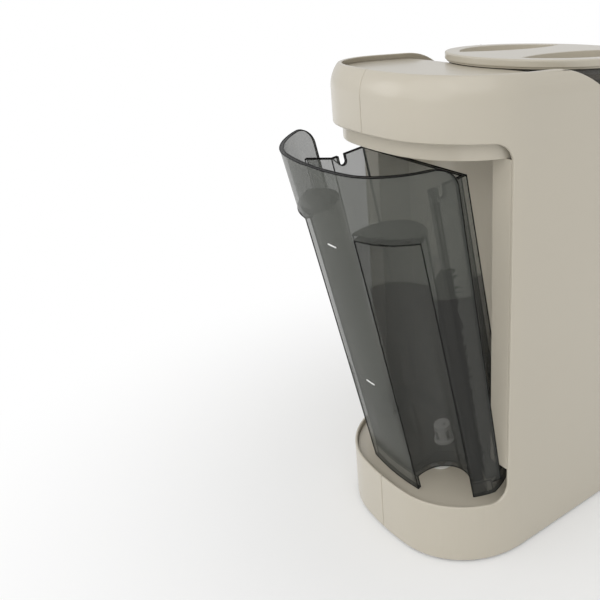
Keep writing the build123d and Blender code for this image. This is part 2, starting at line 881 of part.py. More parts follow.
def bottle_bay_liner():
    # back wall and ceiling of the bottle recess
    span = between(-far, recess_back + liner)
    ceiling = prism(inner, recess_ceiling, recess_ceiling + liner) & span
    notch = drawer_half_width + drawer_gap
    ceiling -= block(
        (-notch, notch), (-far, outlet_y + funnel_mouth + 3 + drawer_gap),
        (recess_ceiling - 1, recess_ceiling + liner + 1),
    )
    back = block(
        (-half_width + inner, half_width - inner),
        (recess_back, recess_back + liner),
        (recess_floor, recess_ceiling + 1),
    )
    return ceiling + back


def base_deck():
    # floor of the bottle recess, with a well for the drip tray
    span = between(-far, recess_back + liner)
    low = drip_bottom - drip_clear - drip_wall
    deck = prism(inner, recess_floor - deck_plate, recess_floor) & span
    front = between(-far, drip_back + drip_clear)
    well = prism(drip_inset - drip_clear, low - 1, recess_floor + 1) & front
    deck -= well
    outer_front = between(-far, drip_back + drip_clear + drip_wall)
    wall_solid = prism(drip_inset - drip_clear - drip_wall, low, recess_floor) & outer_front
    inner_well = prism(drip_inset - drip_clear, low + drip_wall, recess_floor + 1) & front
    return deck + (wall_solid - inner_well)


def drip_tray():
    front = between(-far, drip_back)
    tray = prism(drip_inset, drip_bottom, drip_rim) & front
    hollow_front = between(-far, drip_back - drip_wall)
    hollow = prism(drip_inset + drip_wall, drip_bottom + drip_wall, drip_rim + 1) & hollow_front
    step_front = between(-far, drip_back - drip_lip)
    deep = prism(drip_inset + drip_lip, drip_bottom + drip_wall, drip_rim + 1) & step_front
    shelf = hollow & block((-far, far), (-far, far), (drip_rim - grate_thickness, drip_rim + 1))
    return tray - deep - shelf


def drip_grate():
    edge = drip_wall + drip_clear
    front = between(-far, drip_back - edge)
    low, high = drip_rim - grate_thickness, drip_rim
    grate = prism(drip_inset + edge, low, high) & front
    window_front = between(-far, drip_back - edge - grate_border)
    window = prism(drip_inset + edge + grate_border, low - 1, high + 1) & window_front
    count = int(half_width / grate_slot_pitch)
    for i in range(-count, count + 1):
        x = i * grate_slot_pitch
        slot = block((x - grate_slot_width / 2, x + grate_slot_width / 2), (-far, far), (-far, far))
        grate -= window & slot
    return grate


def panel_span(margin, z0, z1):
    return block(
        (-panel_half_width + margin, panel_half_width - margin),
        (-front_reach - 10, -front_reach + 40),
        (z0, z1),
    )


def button_x(index):
    return (index - 1.5) * button_pitch


def control_panel():
    # curved fascia, flush with the housing, on a rim that bears on the housing from inside
    low, high = panel_bottom + panel_gap, panel_bottom + panel_height - panel_gap
    face = prism(0, low, high) - prism(panel_thickness, low - 1, high + 1)
    face &= panel_span(panel_gap, low, high)
    rim = prism(inner, low - panel_lap, high + panel_lap)
    rim -= prism(inner + panel_rim, low - panel_lap - 1, high + panel_lap + 1)
    rim &= panel_span(-panel_lap, low - panel_lap, high + panel_lap)
    panel = face + rim
    panel -= block(
        (-window_half_width, window_half_width),
        (-front_reach - 10, -front_reach + 30),
        (window_z - window_height / 2, window_z + window_height / 2),
    )
    for i in range(4):
        panel -= rod_y(
            button_x(i), button_z, button_radius + button_gap, -front_reach - 5, -front_reach + 20
        )
    return panel


def display_window():
    half = window_half_width - fit_gap
    tall = window_height / 2 - fit_gap
    lens = prism(0.2, window_z - tall, window_z + tall)
    lens -= prism(panel_thickness, window_z - tall - 1, window_z + tall + 1)
    return lens & block(
        (-half, half), (-front_reach - 10, -front_reach + 30), (-far, far)
    )


def board_y():
    return -front_reach + board_back


def display_module():
    # lit display on the control board, behind the window
    front = -front_reach + panel_thickness + 3.2
    half = window_half_width - 1
    tall = window_height / 2 - 1
    return block((-half, half), (front, board_y()), (window_z - tall, window_z + tall))


def control_board():
    return block(
        (-panel_half_width + 2, panel_half_width - 2),
        (board_y(), board_y() + board_thickness),
        (panel_bottom - 2, panel_bottom + panel_height - 1),
    )


def board_pillars():
    # one at each corner, between the fascia's rim and the control board
    posts = []
    for x in (-panel_half_width + 4, panel_half_width - 4):
        for z in (panel_bottom + 1.5, panel_bottom + panel_height - 4):
            post = rod_y(x, z, 2, -front_reach, board_y())
            posts.append(post & prism(inner + panel_rim, 0, far))
    return posts


def tact_switches():
    switches = []
    for i in range(4):
        x = button_x(i)
        half = switch_size / 2
        face = board_y() - switch_height + 0.6
        body = block((x - half, x + half), (face, board_y()), (button_z - half, button_z + half))
        body += rod_y(x, button_z, switch_plunger_radius, board_y() - switch_height, face + 0.5)
        switches.append(body)
    return switches


def button(index):
    # domed cap with a flange behind the fascia and a stem that presses the switch
    x = button_x(index)
    rim = inner + panel_rim
    flange_radius = button_radius + button_flange
    flange_y = -front_reach + rim + end_sag(abs(x) + flange_radius, rim) + button_gap
    flange_end = flange_y + button_flange_thickness
    cap = rod_y(x, button_z, button_radius, -front_reach - 5, flange_end)
    cap &= prism(-button_proud, 0, far)
    cap += rod_y(x, button_z, flange_radius, flange_y, flange_end)
    stem_end = board_y() - switch_height - button_travel - switch_gap
    return cap + rod_y(x, button_z, button_stem, flange_y, stem_end)


def switch_frame():
    # frame of the mains switch, clipped into the pocket's floor
    y = (rocker_y - rocker_half_y, rocker_y + rocker_half_y)
    z = (rocker_z - rocker_half_z, rocker_z + rocker_half_z)
    face_x = half_width - pocket_depth
    b, g = frame_border, fit_gap
    body = block((face_x, face_x + frame_lip), (y[0] - b, y[1] + b), (z[0] - b, z[1] + b))
    body += block(
        (face_x - frame_depth, face_x + frame_lip / 2), (y[0] + g, y[1] - g), (z[0] + g, z[1] - g)
    )
    return body - block(
        (face_x - rocker_depth, face_x + 5),
        (y[0] + frame_wall, y[1] - frame_wall),
        (z[0] + frame_wall, z[1] - frame_wall),
    )


def rocker_pivot():
    return (half_width - pocket_depth - rocker_sink, rocker_z)


def power_rocker():
    # hollow-faced rocker, resting with its lower end out
    half_y = rocker_half_y - frame_wall - rocker_gap
    half_z = rocker_half_z - frame_wall - rocker_gap - 0.3
    px, pz = rocker_pivot()
    crest, root = px + rocker_rise, px - rocker_root
    face = make_face(
        [
            Line((root, pz - rocker_root), (crest, pz - half_z)),
            ThreePointArc((crest, pz - half_z), (crest - rocker_dish, pz), (crest, pz + half_z)),
            Line((crest, pz + half_z), (root, pz + rocker_root)),
            Line((root, pz + rocker_root), (root, pz - rocker_root)),
        ]
    )
    body = Pos(0, rocker_y, 0) * extrude(Plane.XZ * face, amount=half_y, both=True)
    return Pos(px, rocker_y, pz) * Rot(0, rocker_swing, 0) * Pos(-px, -rocker_y, -pz) * body


def cord_gland():
    # bush that the mains lead would pass through, its flange in the pocket
    x = half_width - pocket_depth
    body = rod_x(gland_y, gland_z, gland_radius - fit_gap, x - gland_length, x + 0.5)
    body += rod_x(gland_y, gland_z, gland_radius + gland_flange, x, x + gland_lip)
    back = x - wall - fit_gap
    body += rod_x(gland_y, gland_z, gland_radius + gland_flange, back - gland_lip, back)
    return body - rod_x(gland_y, gland_z, gland_bore, x - 20, x + 10)


def chassis():
    # upright plate behind the tank bay, with a foot on the bottom cover
    half = chassis_half_width
    plate = block((-half, half), (chassis_back, chassis_y), (cover_top, plate_bottom))
    plate += block((-half, half), (-liner - 12 - chassis_foot, chassis_y), (cover_top, cover_top + 2.5))
    for x in (-half, half):
        web = sorted((x, x - 2.5 if x > 0 else x + 2.5))
        plate += block(web, (chassis_back - 10, chassis_back + 1), (cover_top, plate_bottom))
    return plate


def pump_cradles():
    low = cover_top + 2.5
    cradles = []
    for s in (-1, 1):
        x = s * cradle_x
        body = block(
            (x - cradle_width / 2, x + cradle_width / 2),
            (pump_y - pump_radius, pump_y + pump_radius),
            (low, pump_z),
        )
        cradles.append(body - rod_x(pump_y, pump_z, pump_radius + thread_gap, x - 20, x + 20))
    return cradles


def water_pump():
    half = pump_length / 2
    body = rod_x(pump_y, pump_z, pump_radius, -half, half)
    body += rod_x(pump_y, pump_z, pump_radius * 0.7, half - 1, half + 6)
    body += rod_x(pump_y, pump_z + 4, hose_bore, -half - 9, -half + 1)
    body += disc(heater_x - heater_port, pump_y, hose_bore, pump_z, pump_z + pump_radius + 9)
    return body


def water_heater():
    # flow heater: a finned block with a spigot at each end
    y1 = chassis_back - heater_standoff
    y0 = y1 - heater_depth
    x0, x1 = heater_x - heater_width / 2, heater_x + heater_width / 2
    top = heater_bottom + heater_height
    body = block((x0, x1), (y0, y1), (heater_bottom, top))
    for i in range(5):
        z = heater_bottom + 10 + i * 12
        body -= block((x0 - 1, x1 + 1), (y0 - 1, y0 + 2.5), (z, z + 5))
    y = (y0 + y1) / 2
    body += disc(heater_x - heater_port, y, hose_bore, heater_bottom - 8, heater_bottom + 1)
    return body + disc(heater_x + heater_port, y, hose_bore, top - 1, top + 8)


def heater_bracket():
    y = (chassis_back - heater_standoff, chassis_back)
    x0, x1 = heater_x - heater_width / 2 + 2, heater_x + heater_width / 2 - 2
    straps = []
    for z in (heater_bottom + 6, heater_bottom + heater_height - 14):
        straps.append(block((x0, x1), y, (z, z + 8)))
    return straps


def thermal_cutout():
    y0 = chassis_back - heater_standoff - heater_depth
    z = heater_bottom + heater_height - 6
    return rod_y(heater_x, z - 1.5, cutout_radius * 0.6, y0 - cutout_height, y0)


def power_board():
    y1 = chassis_back - spacer_length
    x0, x1 = power_board_x - power_board_width / 2, power_board_x + power_board_width / 2
    low, high = power_board_bottom, power_board_bottom + power_board_height
    body = block((x0, x1), (y1 - board_thickness, y1), (low, high))
    face, back = y1 - board_thickness, y1 - board_thickness / 2
    left, right, foot = x0 + part_margin, x1 - part_margin, low + part_margin
    body += block((left, left + coil_width), (face - coil_depth, back), (foot, foot + coil_height))
    body += block((right - relay_width, right), (face - relay_depth, back), (foot, foot + relay_height))
    body += rod_y(left + can_radius, low + can_rise, can_radius, face - can_length, back)
    terminals = (low + terminal_rise, low + terminal_rise + terminal_height)
    return body + block((right - terminal_width, right), (face - terminal_depth, back), terminals)


def board_spacers():
    y = (chassis_back - spacer_length, chassis_back)
    spacers = []
    for sx in (-1, 1):
        for z in (power_board_bottom + 4, power_board_bottom + power_board_height - 4):
            x = power_board_x + sx * (power_board_width / 2 - 4)
            spacers.append(rod_y(x, z, spacer_radius, y[0], y[1]))
    return spacers


def hose(points):
    path = FilletPolyline(*points, radius=hose_bend)
    start = Plane(origin=path @ 0, z_dir=path % 0)
    outer = sweep(start * Circle(hose_radius), path=path)
    bore = sweep(start * Circle(hose_bore + hose_gap), path=path)
    return outer - bore


def tank_hose():
    # from the socket's barb down and across to the pump's inlet
    top = tray_under - socket_tail - 4
    x = -pump_length / 2 - 4
    low = pump_z + 4
    return hose(
        [
            (valve_x, valve_y, top + 2),
            (valve_x, valve_y, 14),
            (x - 24, valve_y, 14),
            (x - 24, pump_y, 14),
            (x - 24, pump_y, low),
            (x, pump_y, low),
        ]
    )


def heater_middle_y():
    return chassis_back - heater_standoff - heater_depth / 2


def heater_hose():
    x, y = heater_x - heater_port, heater_middle_y()
    low, high = pump_z + pump_radius + 4, heater_bottom - 4
    middle = (low + high) / 2
    return hose([(x, pump_y, low), (x, pump_y, middle), (x, y, middle), (x, y, high)])


def outlet_level():
    return plate_top + hose_radius + hose_gap


def outlet_hose():
    # up from the heater through the shelf, and along it to the nozzle's elbow
    x, y, z = heater_x + heater_port, heater_middle_y(), outlet_level()
    low = heater_bottom + heater_height + 4
    return hose([(x, y, low), (x, y, z), (x, outlet_y, z), (nozzle_x + 8, outlet_y, z)])


def tilted(shape):
    # from upright in the bay to leaning out of it
    return Pos(0, pivot_y, pivot_z) * Rot(-tilt, 0, 0) * Pos(0, -pivot_y, -pivot_z) * shape


def tank_form(inset):
    # solid inside the tank's outer wall, wider and squarer at the rim than at the foot
    foot = outline(tank_bottom_inset + inset)
    rim_inset = tank_bottom_inset + inset - tank_height * tan(radians(tank_draft))
    rim = Pos(0, 0, tank_height) * outline(rim_inset, tank_rim_corner)
    return Pos(0, 0, tank_base) * loft([foot, rim], ruled=True)


def box_form(inset, z0, z1):
    # plan of the water chamber: flat front face, square sides, then a jog out to the outer wall
    x, y = box_half_width - inset, box_face + inset
    slope = (jog_out_y - jog_y) / (jog_out_x - box_half_width)
    wide = half_width + inset
    step = inset * (sqrt(1 + slope**2) - slope)
    jog_end = jog_y + step + slope * (wide - x)
    face = make_face(
        Polyline(
            (-x, y), (x, y), (x, jog_y + step), (wide, jog_end), (wide, far), (-wide, far),
            (-wide, jog_end), (-x, jog_y + step), (-x, y),
        )
    )
    return Pos(0, 0, z0) * extrude(face, amount=z1 - z0)


def grips(radius, top):
    return disc(-grip_x, grip_y, radius, tank_base - 1, top) + disc(
        grip_x, grip_y, radius, tank_base - 1, top
    )


def skirt_form(inset):
    # foot of the tank: the outer wall carried round to the flat front face
    x, y = box_half_width - inset, box_face + inset
    wide = skirt_half_width - inset
    reach = jog_out_y - y
    middle = (x + (wide - x) * 0.68, y + reach * 0.42)
    face = make_face(
        [
            Line((-x, y), (x, y)),
            ThreePointArc((x, y), middle, (wide, jog_out_y)),
            Polyline((wide, jog_out_y), (wide, far), (-wide, far), (-wide, jog_out_y)),
            ThreePointArc((-wide, jog_out_y), (-middle[0], middle[1]), (-x, y)),
        ]
    )
    return Pos(0, 0, tank_base) * extrude(face, amount=skirt_height + tank_wall)


def water_tank():
    floor = tank_base + skirt_height
    box_top = tank_base + box_height
    grip_top = tank_base + grip_height
    outer, hollow = tank_form(0), tank_form(tank_wall)
    grip_air, grip_skin = grips(grip_radius, grip_top), grips(
        grip_radius + tank_wall, grip_top + tank_wall
    )

    chamber = outer & box_form(0, floor, box_top)
    chamber -= (hollow & box_form(tank_wall, floor + tank_wall, box_top + 1)) - grip_skin

    band = (outer - hollow) & block((-far, far), (ear_edge, far), (floor, tank_top))
    corner = window_face((ear_edge, rear_reach + 60), (0, tank_top), ear_round)
    band &= profile(corner)

    skirt = outer & skirt_form(0)
    skirt -= hollow & skirt_form(tank_wall) & block((-far, far), (-far, far), (0, floor))
    tank = (chamber + band + skirt) - grip_air

    for s in (-1, 1):
        x = sorted((s * (box_half_width - 6), s * (box_half_width + 6)))
        y = (hook_slot_y - hook_slot_width / 2, hook_slot_y + hook_slot_width / 2)
        low = box_top - hook_slot_depth + hook_slot_width / 2
        tank -= block(x, y, (low, box_top + 5))
        tank -= rod_x(hook_slot_y, low, hook_slot_width / 2, x[0], x[1])

    spigot = disc(valve_x, valve_y, spigot_radius, spigot_bottom, floor + 0.5)
    spigot -= disc(valve_x, valve_y, spigot_radius - spigot_wall, spigot_bottom - 1, floor - seal_ledge)
    tank += spigot
    tank -= disc(valve_x, valve_y, cage_radius, floor, floor + tank_wall + 1)
    return tank - disc(valve_x, valve_y, cage_radius - seal_ledge, floor - 3, floor + 1)


def valve_cage():
    # guide for the plunger, standing on the tank's floor with its windows open to the water
    floor = tank_base + skirt_height + tank_wall
    body = disc(valve_x, valve_y, cage_radius + cage_wall, floor, floor + cage_flange)
    body += disc(valve_x, valve_y, cage_radius - fit_gap, floor - 0.5, floor + cage_height)
    body -= disc(
        valve_x, valve_y, cage_radius - cage_wall, floor - 2, floor + cage_height - cage_wall
    )
    body -= disc(valve_x, valve_y, plunger_radius + run_gap, floor, floor + cage_height + 1)
    low, high = floor + cage_flange, floor + cage_height - 2 * cage_wall
    for turn in (0, 90):
        window = Box(40, cage_window, high - low)
        body -= Pos(valve_x, valve_y, (low + high) / 2) * Rot(0, 0, turn) * window
    return body


def valve_plunger():
    # stem with a head that fills the seal ring, and leaves it when the stem is pushed up
    top = tank_base + skirt_height + tank_wall + cage_height + 0.6
    body = disc(valve_x, valve_y, plunger_radius, valve_bottom(), top)
    head_top = plunger_head_top()
    return body + disc(
        valve_x, valve_y, plunger_head_radius, head_top - plunger_head_height, head_top
    )


def plunger_head_top():
    return tank_base + skirt_height + seal_height


def valve_spring():
    # coil between the plunger's head and the top of its cage
    low = plunger_head_top() + spring_wire / 2 + 0.05
    high = tank_base + skirt_height + tank_wall + cage_height - cage_wall - spring_wire / 2 - 0.05
    pitch = (high - low) / spring_turns
    path = Pos(valve_x, valve_y, low) * Helix(pitch, high - low, spring_radius)
    start = Plane(origin=path @ 0, z_dir=path % 0)
    return sweep(start * Circle(spring_wire / 2), path=path)


def valve_seal():
    low = tank_base + skirt_height
    ring = disc(valve_x, valve_y, cage_radius - fit_gap, low, low + seal_height)
    return ring - disc(valve_x, valve_y, plunger_head_radius + seal_gap, low - 1, low + 3)


pieces = {
    "left_housing": housing_half(-1),
    "right_housing": housing_half(1),
    "bottom_cover": bottom_cover(),
    "base_screws": base_screws(),
    "rubber_feet": rubber_feet(),
    "tank_tray": tank_tray(),
    "tank_socket": tank_socket(),
    "socket_seal": socket_seal(),
    "tank_bay_liner": tank_bay_liner(),
    "bay_collar": bay_collar(),
    "top_deck": top_deck(),
    "hopper_seat": hopper_seat(),
    "drive_plate": drive_plate(),
    "drive_gear": drive_gear(),
    "shaft_clip": shaft_clip(),
    "motor_pinion": motor_pinion(),
    "gear_motor": gear_motor(),
    "powder_hopper": powder_hopper(),
    "scraper_plate": scraper_plate(),
    "dosing_wheel": dosing_wheel(),
    "hopper_spindle": hopper_spindle(),
    "agitator": agitator(),
    "hopper_lid": hopper_lid(),
    "lid_seal": lid_seal(),
    "powder_chute": powder_chute(),
    "water_nozzle": water_nozzle(),
    "mixing_funnel": mixing_funnel(),
    "bottle_bay_liner": bottle_bay_liner(),
    "base_deck": base_deck(),
    "drip_tray": drip_tray(),
    "drip_grate": drip_grate(),
    "control_panel": control_panel(),
    "display_window": display_window(),
    "display_module": display_module(),
    "control_board": control_board(),
    "board_pillars": board_pillars(),
    "tact_switches": tact_switches(),
    "power_button": button(0),
    "volume_button": button(1),
    "warmth_button": button(2),
    "start_button": button(3),
    "switch_frame": switch_frame(),
    "power_rocker": power_rocker(),
    "cord_gland": cord_gland(),
    "chassis": chassis(),
    "pump_cradles": pump_cradles(),
    "water_pump": water_pump(),
    "water_heater": water_heater(),
    "heater_bracket": heater_bracket(),
    "thermal_cutout": thermal_cutout(),
    "power_board": power_board(),
    "board_spacers": board_spacers(),
    "tank_hose": tank_hose(),
    "heater_hose": heater_hose(),
    "outlet_hose": outlet_hose(),
    "water_tank": tilted(water_tank()),
    "valve_cage": tilted(valve_cage()),
    "valve_plunger": tilted(valve_plunger()),
    "valve_spring": tilted(valve_spring()),
    "valve_seal": tilted(valve_seal()),
}

os.makedirs("parts", exist_ok=True)
for name, shape in pieces.items():
    solids = shape if isinstance(shape, list) else [shape]
    moved = [Pos(0, -origin_y, 0) * solid for solid in solids]
    node = moved[0] if len(moved) == 1 else Compound(children=moved)
    export_step(node, os.path.join("parts", name + ".step"))
print("origin offset", round(origin_y, 3), "pieces", len(pieces))
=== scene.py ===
import json
import math

import bmesh
import bpy
from mathutils import Matrix, Vector

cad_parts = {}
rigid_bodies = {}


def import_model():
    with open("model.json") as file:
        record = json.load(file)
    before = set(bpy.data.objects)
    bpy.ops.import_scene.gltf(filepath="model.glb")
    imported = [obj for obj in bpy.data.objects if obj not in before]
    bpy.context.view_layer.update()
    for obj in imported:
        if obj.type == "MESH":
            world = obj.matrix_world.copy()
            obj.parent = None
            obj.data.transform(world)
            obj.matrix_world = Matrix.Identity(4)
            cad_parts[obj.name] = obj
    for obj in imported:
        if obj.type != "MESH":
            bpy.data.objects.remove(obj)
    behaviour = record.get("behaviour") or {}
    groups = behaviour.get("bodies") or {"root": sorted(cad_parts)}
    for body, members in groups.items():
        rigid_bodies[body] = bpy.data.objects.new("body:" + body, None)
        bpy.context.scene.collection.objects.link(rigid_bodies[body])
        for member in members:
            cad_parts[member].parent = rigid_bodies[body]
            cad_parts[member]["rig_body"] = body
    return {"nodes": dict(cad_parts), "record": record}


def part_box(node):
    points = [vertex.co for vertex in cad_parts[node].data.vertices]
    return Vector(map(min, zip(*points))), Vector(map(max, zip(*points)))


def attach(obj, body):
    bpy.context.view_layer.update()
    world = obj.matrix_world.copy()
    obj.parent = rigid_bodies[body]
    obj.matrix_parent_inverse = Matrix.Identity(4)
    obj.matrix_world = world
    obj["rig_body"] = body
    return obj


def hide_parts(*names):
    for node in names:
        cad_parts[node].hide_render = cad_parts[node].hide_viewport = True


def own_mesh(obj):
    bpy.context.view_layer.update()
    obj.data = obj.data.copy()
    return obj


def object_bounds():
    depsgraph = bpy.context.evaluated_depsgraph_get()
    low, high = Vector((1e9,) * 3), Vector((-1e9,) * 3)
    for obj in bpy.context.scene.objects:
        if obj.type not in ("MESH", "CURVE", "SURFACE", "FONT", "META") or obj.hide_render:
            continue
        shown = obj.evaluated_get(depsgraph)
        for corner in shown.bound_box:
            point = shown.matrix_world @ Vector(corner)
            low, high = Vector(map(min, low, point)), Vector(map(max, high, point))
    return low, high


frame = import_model()
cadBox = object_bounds()
print("frame loaded:", len(frame["nodes"]), "nodes")

mm = 0.001
slotOf = {part["node"]: part["material_slot"] for part in frame["record"]["subparts"]}
bodyOf = {name: node["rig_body"] for name, node in frame["nodes"].items()}
linerWall = 2.0  # thickness of the bay's lining, in millimetres
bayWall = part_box("tank_bay_liner")[0].y + linerWall * mm  # the machine's own y = 0, in the frame
sharpTurn = math.radians(34)  # faces that meet at more than this have an edge between them


def place(x, y, z):
    # millimetres in the machine's own frame to metres in the part's
    return Vector((x * mm, bayWall + y * mm, z * mm))


def added(name, data):
    # a new object in the scene
    piece = bpy.data.objects.new(name, data)
    bpy.context.scene.collection.objects.link(piece)
    return piece


class Value:
    # an output socket, on which arithmetic and comparisons add Math nodes
    def __init__(self, graph, socket):
        self.graph = graph
        self.socket = socket

    def work(self, operation, first, second):
        return self.graph.maths(operation, first, second)

    def __add__(self, other):
        return self.work("ADD", self, other)

    def __radd__(self, other):
        return self.work("ADD", other, self)

    def __sub__(self, other):
        return self.work("SUBTRACT", self, other)

    def __rsub__(self, other):
        return self.work("SUBTRACT", other, self)

    def __mul__(self, other):
        return self.work("MULTIPLY", self, other)

    def __rmul__(self, other):
        return self.work("MULTIPLY", other, self)

    def __lt__(self, other):
        return self.work("LESS_THAN", self, other)

    def __gt__(self, other):
        return self.work("GREATER_THAN", self, other)


class Graph:
    # a node tree, shader or geometry, with one way to add any node
    def __init__(self, tree):
        self.tree = tree

    def node(self, kind, settings=None, values=None, output=0):
        made = self.tree.nodes.new(kind)
        for key, value in (settings or {}).items():
            setattr(made, key, value)
        for key, value in (values or {}).items():
            if isinstance(value, Value):
                self.tree.links.new(value.socket, made.inputs[key])
            else:
                made.inputs[key].default_value = value
        return Value(self, made.outputs[output])

    def other(self, value, output):
        # another output of the node that gave value
        return Value(self, value.socket.node.outputs[output])

    def maths(self, operation, first, second):
        return self.node("ShaderNodeMath", {"operation": operation}, {0: first, 1: second})

    def vectors(self, operation, first, second, output=0):
        values = {0: first, 1: second}
        return self.node("ShaderNodeVectorMath", {"operation": operation}, values, output)


class Finish(Graph):
    # a material, its patterns on Object coordinates
    def __init__(self, name):
        self.material = bpy.data.materials.new(name)
        self.material.use_nodes = True
        super().__init__(self.material.node_tree)
        self.tree.nodes.clear()
        self.place = self.node("ShaderNodeTexCoord", output="Object")

    def noise(self, scale, detail=2.0, roughness=0.5, at=None):
        values = {"Vector": at or self.place, "Scale": scale, "Detail": detail, "Roughness": roughness}
        return self.node("ShaderNodeTexNoise", values=values)

    def stretched(self, scale):
        return self.node("ShaderNodeMapping", values={"Vector": self.place, "Scale": scale})

    def mix(self, share, first, second):
        start, end = [c if isinstance(c, Value) else (*c, 1) for c in (first, second)]
        return self.node("ShaderNodeMix", {"data_type": "RGBA"}, {0: share, 6: start, 7: end}, output=2)

    def bump(self, height, strength, distance):
        values = {"Height": height, "Strength": strength, "Distance": distance}
        return self.node("ShaderNodeBump", values=values)

    def surface(self, **values):
        # closes the material with a Principled surface
        inputs = {name.replace("_", " "): value for name, value in values.items()}
        for name in ("Base Color", "Emission Color"):
            if name in inputs and not isinstance(inputs[name], Value):
                inputs[name] = (*inputs[name], 1)
        self.close(self.node("ShaderNodeBsdfPrincipled", values=inputs))
        return self.material

    def close(self, shader):
        end = self.tree.nodes.new("ShaderNodeOutputMaterial")
        self.tree.links.new(shader.socket, end.inputs["Surface"])


def plain(piece):
    # the piece with its modifiers worked into its mesh
    bpy.context.view_layer.update()
    finished = piece.evaluated_get(bpy.context.evaluated_depsgraph_get())
    mesh = bpy.data.meshes.new_from_object(finished)
    mesh.name = piece.name
    piece.modifiers.clear()
    piece.data = mesh
    return mesh


class Recipe(Graph):
    # a Geometry Nodes tree with named inputs
    def __init__(self, name, inputs):
        super().__init__(bpy.data.node_groups.new(name, "GeometryNodeTree"))
        face = self.tree.interface
        face.new_socket("Geometry", in_out="INPUT", socket_type="NodeSocketGeometry")
        face.new_socket("Geometry", in_out="OUTPUT", socket_type="NodeSocketGeometry")
        self.name = name
        self.identifiers = {}
        for label, value in inputs.items():
            kind = "NodeSocketFloat" if isinstance(value, float) else "NodeSocketVector"
            socket = face.new_socket(label, in_out="INPUT", socket_type=kind)
            socket.default_value = value
            self.identifiers[label] = socket.identifier
        self.inlet = self.tree.nodes.new("NodeGroupInput")

    def given(self, label):
        return Value(self, self.inlet.outputs[label])

    def close(self, geometry, material):
        real = self.node("GeometryNodeRealizeInstances", values={"Geometry": geometry})
        done = self.node("GeometryNodeSetMaterial", values={"Geometry": real, "Material": material})
        end = self.tree.nodes.new("NodeGroupOutput")
        self.tree.links.new(done.socket, end.inputs[0])

    def tube(self, path, radius, sides):
        # a round strand along a curve, its ends closed
        size = {"Resolution": sides, "Radius": radius}
        ring = self.node("GeometryNodeCurvePrimitiveCircle", values=size)
        values = {"Curve": path, "Profile Curve": ring, "Fill Caps": True}
        return self.node("GeometryNodeCurveToMesh", values=values)

    def raised(self, geometry, height):
        shift = self.node("ShaderNodeCombineXYZ", values={"X": 0.0, "Y": 0.0, "Z": height})
        return self.node("GeometryNodeTransform", values={"Geometry": geometry, "Translation": shift})

    def join(self, *parts):
        gathered = self.tree.nodes.new("GeometryNodeJoinGeometry")
        for part in reversed(parts):
            self.tree.links.new(part.socket, gathered.inputs[0])
        return Value(self, gathered.outputs[0])

    def run(self, piece, values=None):
        # works the tree into the piece's mesh
        modifier = piece.modifiers.new(self.name, "NODES")
        modifier.node_group = self.tree
        for label, value in (values or {}).items():
            modifier[self.identifiers[label]] = value
        plain(piece)
        return piece


housingLook = {"colour": (0.485, 0.447, 0.368), "warm": (0.500, 0.457, 0.374), "roughness": 0.32}
gloss = {
    "drift": 9.0,  # scales of the noises
    "peel": 420.0,
    "dust": 2600.0,
    "uneven": 0.05,  # how far they shift the roughness
    "coat": 0.38,
    "coatRoughness": 0.12,
}


def glossFinish(name, look):
    # glossy moulding: faint drift of colour, orange peel too shallow to see but in a highlight
    made = Finish(name)
    drift = made.noise(gloss["drift"], 3.0)
    peel = made.noise(gloss["peel"])
    dust = made.noise(gloss["dust"], 3.0)
    return made.surface(
        Base_Color=made.mix(drift, look["colour"], look["warm"]),
        Roughness=look["roughness"] + gloss["uneven"] * (dust - 0.5) + gloss["uneven"] * (drift - 0.5),
        Coat_Weight=gloss["coat"],
        Coat_Roughness=gloss["coatRoughness"],
        Normal=made.bump(peel, 0.12, 0.00012),
    )


satin = {"grain": 2400.0, "drift": 14.0, "paler": 1.08, "uneven": 0.12}


def satinFinish(name, colour, roughness=0.5):
    # spark-eroded satin, as inside a moulding
    made = Finish(name)
    fine = made.noise(satin["grain"], 4.0, 0.6)
    drift = made.noise(satin["drift"])
    paler = tuple(min(1.0, c * satin["paler"]) for c in colour)
    return made.surface(
        Base_Color=made.mix(drift, colour, paler),
        Roughness=roughness + satin["uneven"] * (fine - 0.5),
        Normal=made.bump(fine, 0.25, 0.00008),
    )


tilt = math.radians(10.54)
tankAxis = Vector((0, math.sin(tilt), math.cos(tilt)))
tankBack = Vector((0, math.cos(tilt), -math.sin(tilt)))
tankHeel = place(0, 62.1, 72.9)  # the tank turns about this spot


def lean(x, y, z):
    # a spot on the upright tank to its place on the leaning one
    there, back = Matrix.Translation(tankHeel), Matrix.Translation(-tankHeel)
    return there @ Matrix.Rotation(-tilt, 4, "X") @ back @ place(x, y, z)


tankLook = {
    "upper": (0.109, 0.113, 0.101),
    # painted shade: the darker colour of the chamber below the shade height, for the shadowed bay seen
    # through it
    "lower": (0.064, 0.065, 0.060),
    "edge": (0.008, 0.008, 0.008),
    "thin": 0.45,  # opacity of one face of a wall looked at square on
    "deep": 0.92,  # opacity of a rim or an edge, where the light runs along inside the wall
    "glance": 0.38,  # how much more at a glancing angle
    "gloss": 0.2,
    "bend": 1.25,
    "lets": 0.78,  # share of the light that the moulding would stop which still reaches what it covers
    "shadeHeight": 0.188,  # painted shade: height below which the chamber is drawn darker, standing for the bay's shadow seen through the tank
    "shadeOpacity": 0.14,  # opacity that this painted shade adds
    "front": tankBack.dot(lean(0, 65, 70)),  # how far back in the leaning tank the chamber reaches
}
drumLook = {
    "upper": (0.075, 0.070, 0.064),
    "lower": (0.075, 0.070, 0.064),
    "edge": (0.03, 0.028, 0.025),
    "thin": 0.6,
    "deep": 0.97,
    "glance": 0.3,
    "gloss": 0.4,
    "bend": 1.4,
    "lets": 0.5,
    "shadeHeight": 0.0,
    "shadeOpacity": 0.0,
    "front": 0.0,
}


